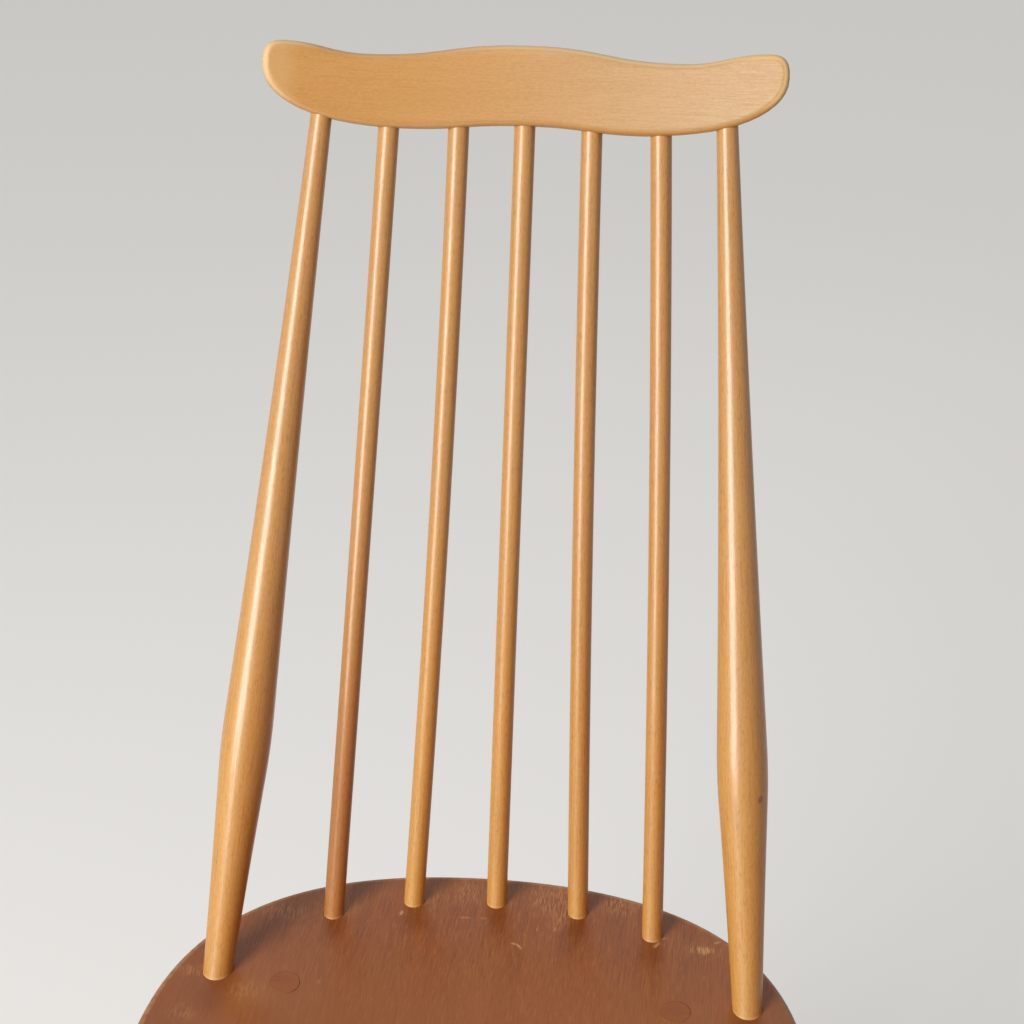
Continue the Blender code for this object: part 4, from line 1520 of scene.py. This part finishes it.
def make_floor_paint(base):
    """Plain pale paint that glows a little where it is seen, and keeps the chair's shadow."""
    shade = Shade("floor paint")
    shade.set("Base Color", (*base, 1.0))
    shade.set("Roughness", 0.9)
    shade.set("Specular IOR Level", 0.1)
    shade.set("Emission Color", (*LAMP_TINT, 1.0))
    shade.set("Emission Strength", shade.times(seen(shade), FLOOR_GLOW))
    return shade.material


def add_floor(base):
    """A wide plain floor whose far edge stays out of the main view."""
    deselect()
    sides, radius = FLOOR_SIDES, FLOOR_RADIUS
    bpy.ops.mesh.primitive_circle_add(vertices=sides, radius=radius, fill_type="NGON")
    floor = bpy.context.object
    floor.name = "plain_floor"
    edit(floor)
    pick_all()
    bpy.ops.mesh.inset(thickness=FLOOR_INSET)
    leave_edit()
    floor.data.materials.append(make_floor_paint(base))


def add_world():
    """A pale surround that lights the chair evenly and more softly than it looks."""
    world = bpy.data.worlds.new("pale surround")
    world.use_nodes = True
    bpy.context.scene.world = world
    tree = world.node_tree
    path = tree.nodes.new("ShaderNodeLightPath")
    strength = tree.nodes.new("ShaderNodeMapRange")
    strength.inputs["To Min"].default_value = SURROUND_LOOK
    strength.inputs["To Max"].default_value = SURROUND_LIGHT
    tree.links.new(path.outputs["Is Diffuse Ray"], strength.inputs["Value"])
    surround = tree.nodes["Background"]
    surround.inputs["Color"].default_value = (*LAMP_TINT, 1.0)
    tree.links.new(strength.outputs["Result"], surround.inputs["Strength"])


def add_lamp(name, place, target, width, height, power):
    deselect()
    bpy.ops.object.light_add(type="AREA", location=place)
    lamp = bpy.context.object
    lamp.name = name
    lamp.data.shape = "RECTANGLE"
    lamp.data.size = width
    lamp.data.size_y = height
    lamp.data.energy = power
    lamp.data.color = LAMP_TINT
    lamp.rotation_euler = (Vector(target) - Vector(place)).to_track_quat("-Z", "Y").to_euler()
    lamp.visible_camera = False
    return lamp


def add_camera():
    """The camera as the photograph's was, fitted to the sticks and the seat's edge."""
    forward = Vector(
        (
            math.sin(CAMERA_YAW) * math.cos(CAMERA_PITCH),
            math.cos(CAMERA_YAW) * math.cos(CAMERA_PITCH),
            -math.sin(CAMERA_PITCH),
        )
    )
    level = Vector((math.cos(CAMERA_YAW), -math.sin(CAMERA_YAW), 0.0))
    upright = level.cross(forward)
    right = level * math.cos(CAMERA_ROLL) + upright * math.sin(CAMERA_ROLL)
    top = upright * math.cos(CAMERA_ROLL) - level * math.sin(CAMERA_ROLL)
    placed = Matrix((right, top, -forward)).transposed().to_4x4()
    placed.translation = Vector(CAMERA_PLACE)
    deselect()
    bpy.ops.object.camera_add()
    camera = bpy.context.object
    camera.matrix_world = placed
    camera.data.lens = CAMERA_LENS
    camera.data.sensor_width = CAMERA_SENSOR
    camera.data.clip_end = CAMERA_REACH
    bpy.context.scene.camera = camera


class WINDSOR_OT_add_stage(Operator):
    """Lay the plain floor, and set up the soft light and the camera"""

    bl_idname = "windsor.add_stage"
    bl_label = "Stage"

    def execute(self, context):
        add_floor(tuple(context.scene.windsor_colours.floor))
        add_world()
        add_lamp("window", *WINDOW)
        back_light = add_lamp("back light", *BACK_LIGHT)
        back_light.visible_glossy = False
        back_light.data.spread = BACK_LIGHT_SPREAD
        add_camera()
        context.scene.view_settings.view_transform = "Standard"
        return {"FINISHED"}


class WINDSOR_PT_pieces(Panel):
    bl_idname = "WINDSOR_PT_pieces"
    bl_label = "Windsor chair"
    bl_space_type = "VIEW_3D"
    bl_region_type = "UI"
    bl_category = "Windsor chair"

    def draw(self, context):
        for group in (context.scene.windsor_sizes, context.scene.windsor_colours):
            column = self.layout.column(align=True)
            for name in group.bl_rna.properties.keys():
                if name not in ("rna_type", "name"):
                    column.prop(group, name)
        column = self.layout.column(align=True)
        for operator in OPERATORS:
            column.operator(operator.bl_idname)


OPERATORS = (
    WINDSOR_OT_add_stage,
    WINDSOR_OT_add_seat,
    WINDSOR_OT_add_top_rail,
    WINDSOR_OT_add_posts,
    WINDSOR_OT_add_spindles,
    WINDSOR_OT_add_legs,
    WINDSOR_OT_add_stretchers,
    WINDSOR_OT_finish_wedges,
)
CLASSES = (WindsorSizes, WindsorColours, *OPERATORS, WINDSOR_PT_pieces)


def register():
    for each in CLASSES:
        bpy.utils.register_class(each)
    bpy.types.Scene.windsor_sizes = PointerProperty(type=WindsorSizes)
    bpy.types.Scene.windsor_colours = PointerProperty(type=WindsorColours)


def unregister():
    del bpy.types.Scene.windsor_colours
    del bpy.types.Scene.windsor_sizes
    for each in reversed(CLASSES):
        bpy.utils.unregister_class(each)


def main():
    register()
    bpy.ops.windsor.add_stage()
    bpy.ops.windsor.add_seat()
    bpy.ops.windsor.add_top_rail()
    bpy.ops.windsor.add_posts()
    bpy.ops.windsor.add_spindles()
    bpy.ops.windsor.add_legs()
    bpy.ops.windsor.add_stretchers()
    bpy.ops.windsor.finish_wedges()


if __name__ == "__main__":
    main()
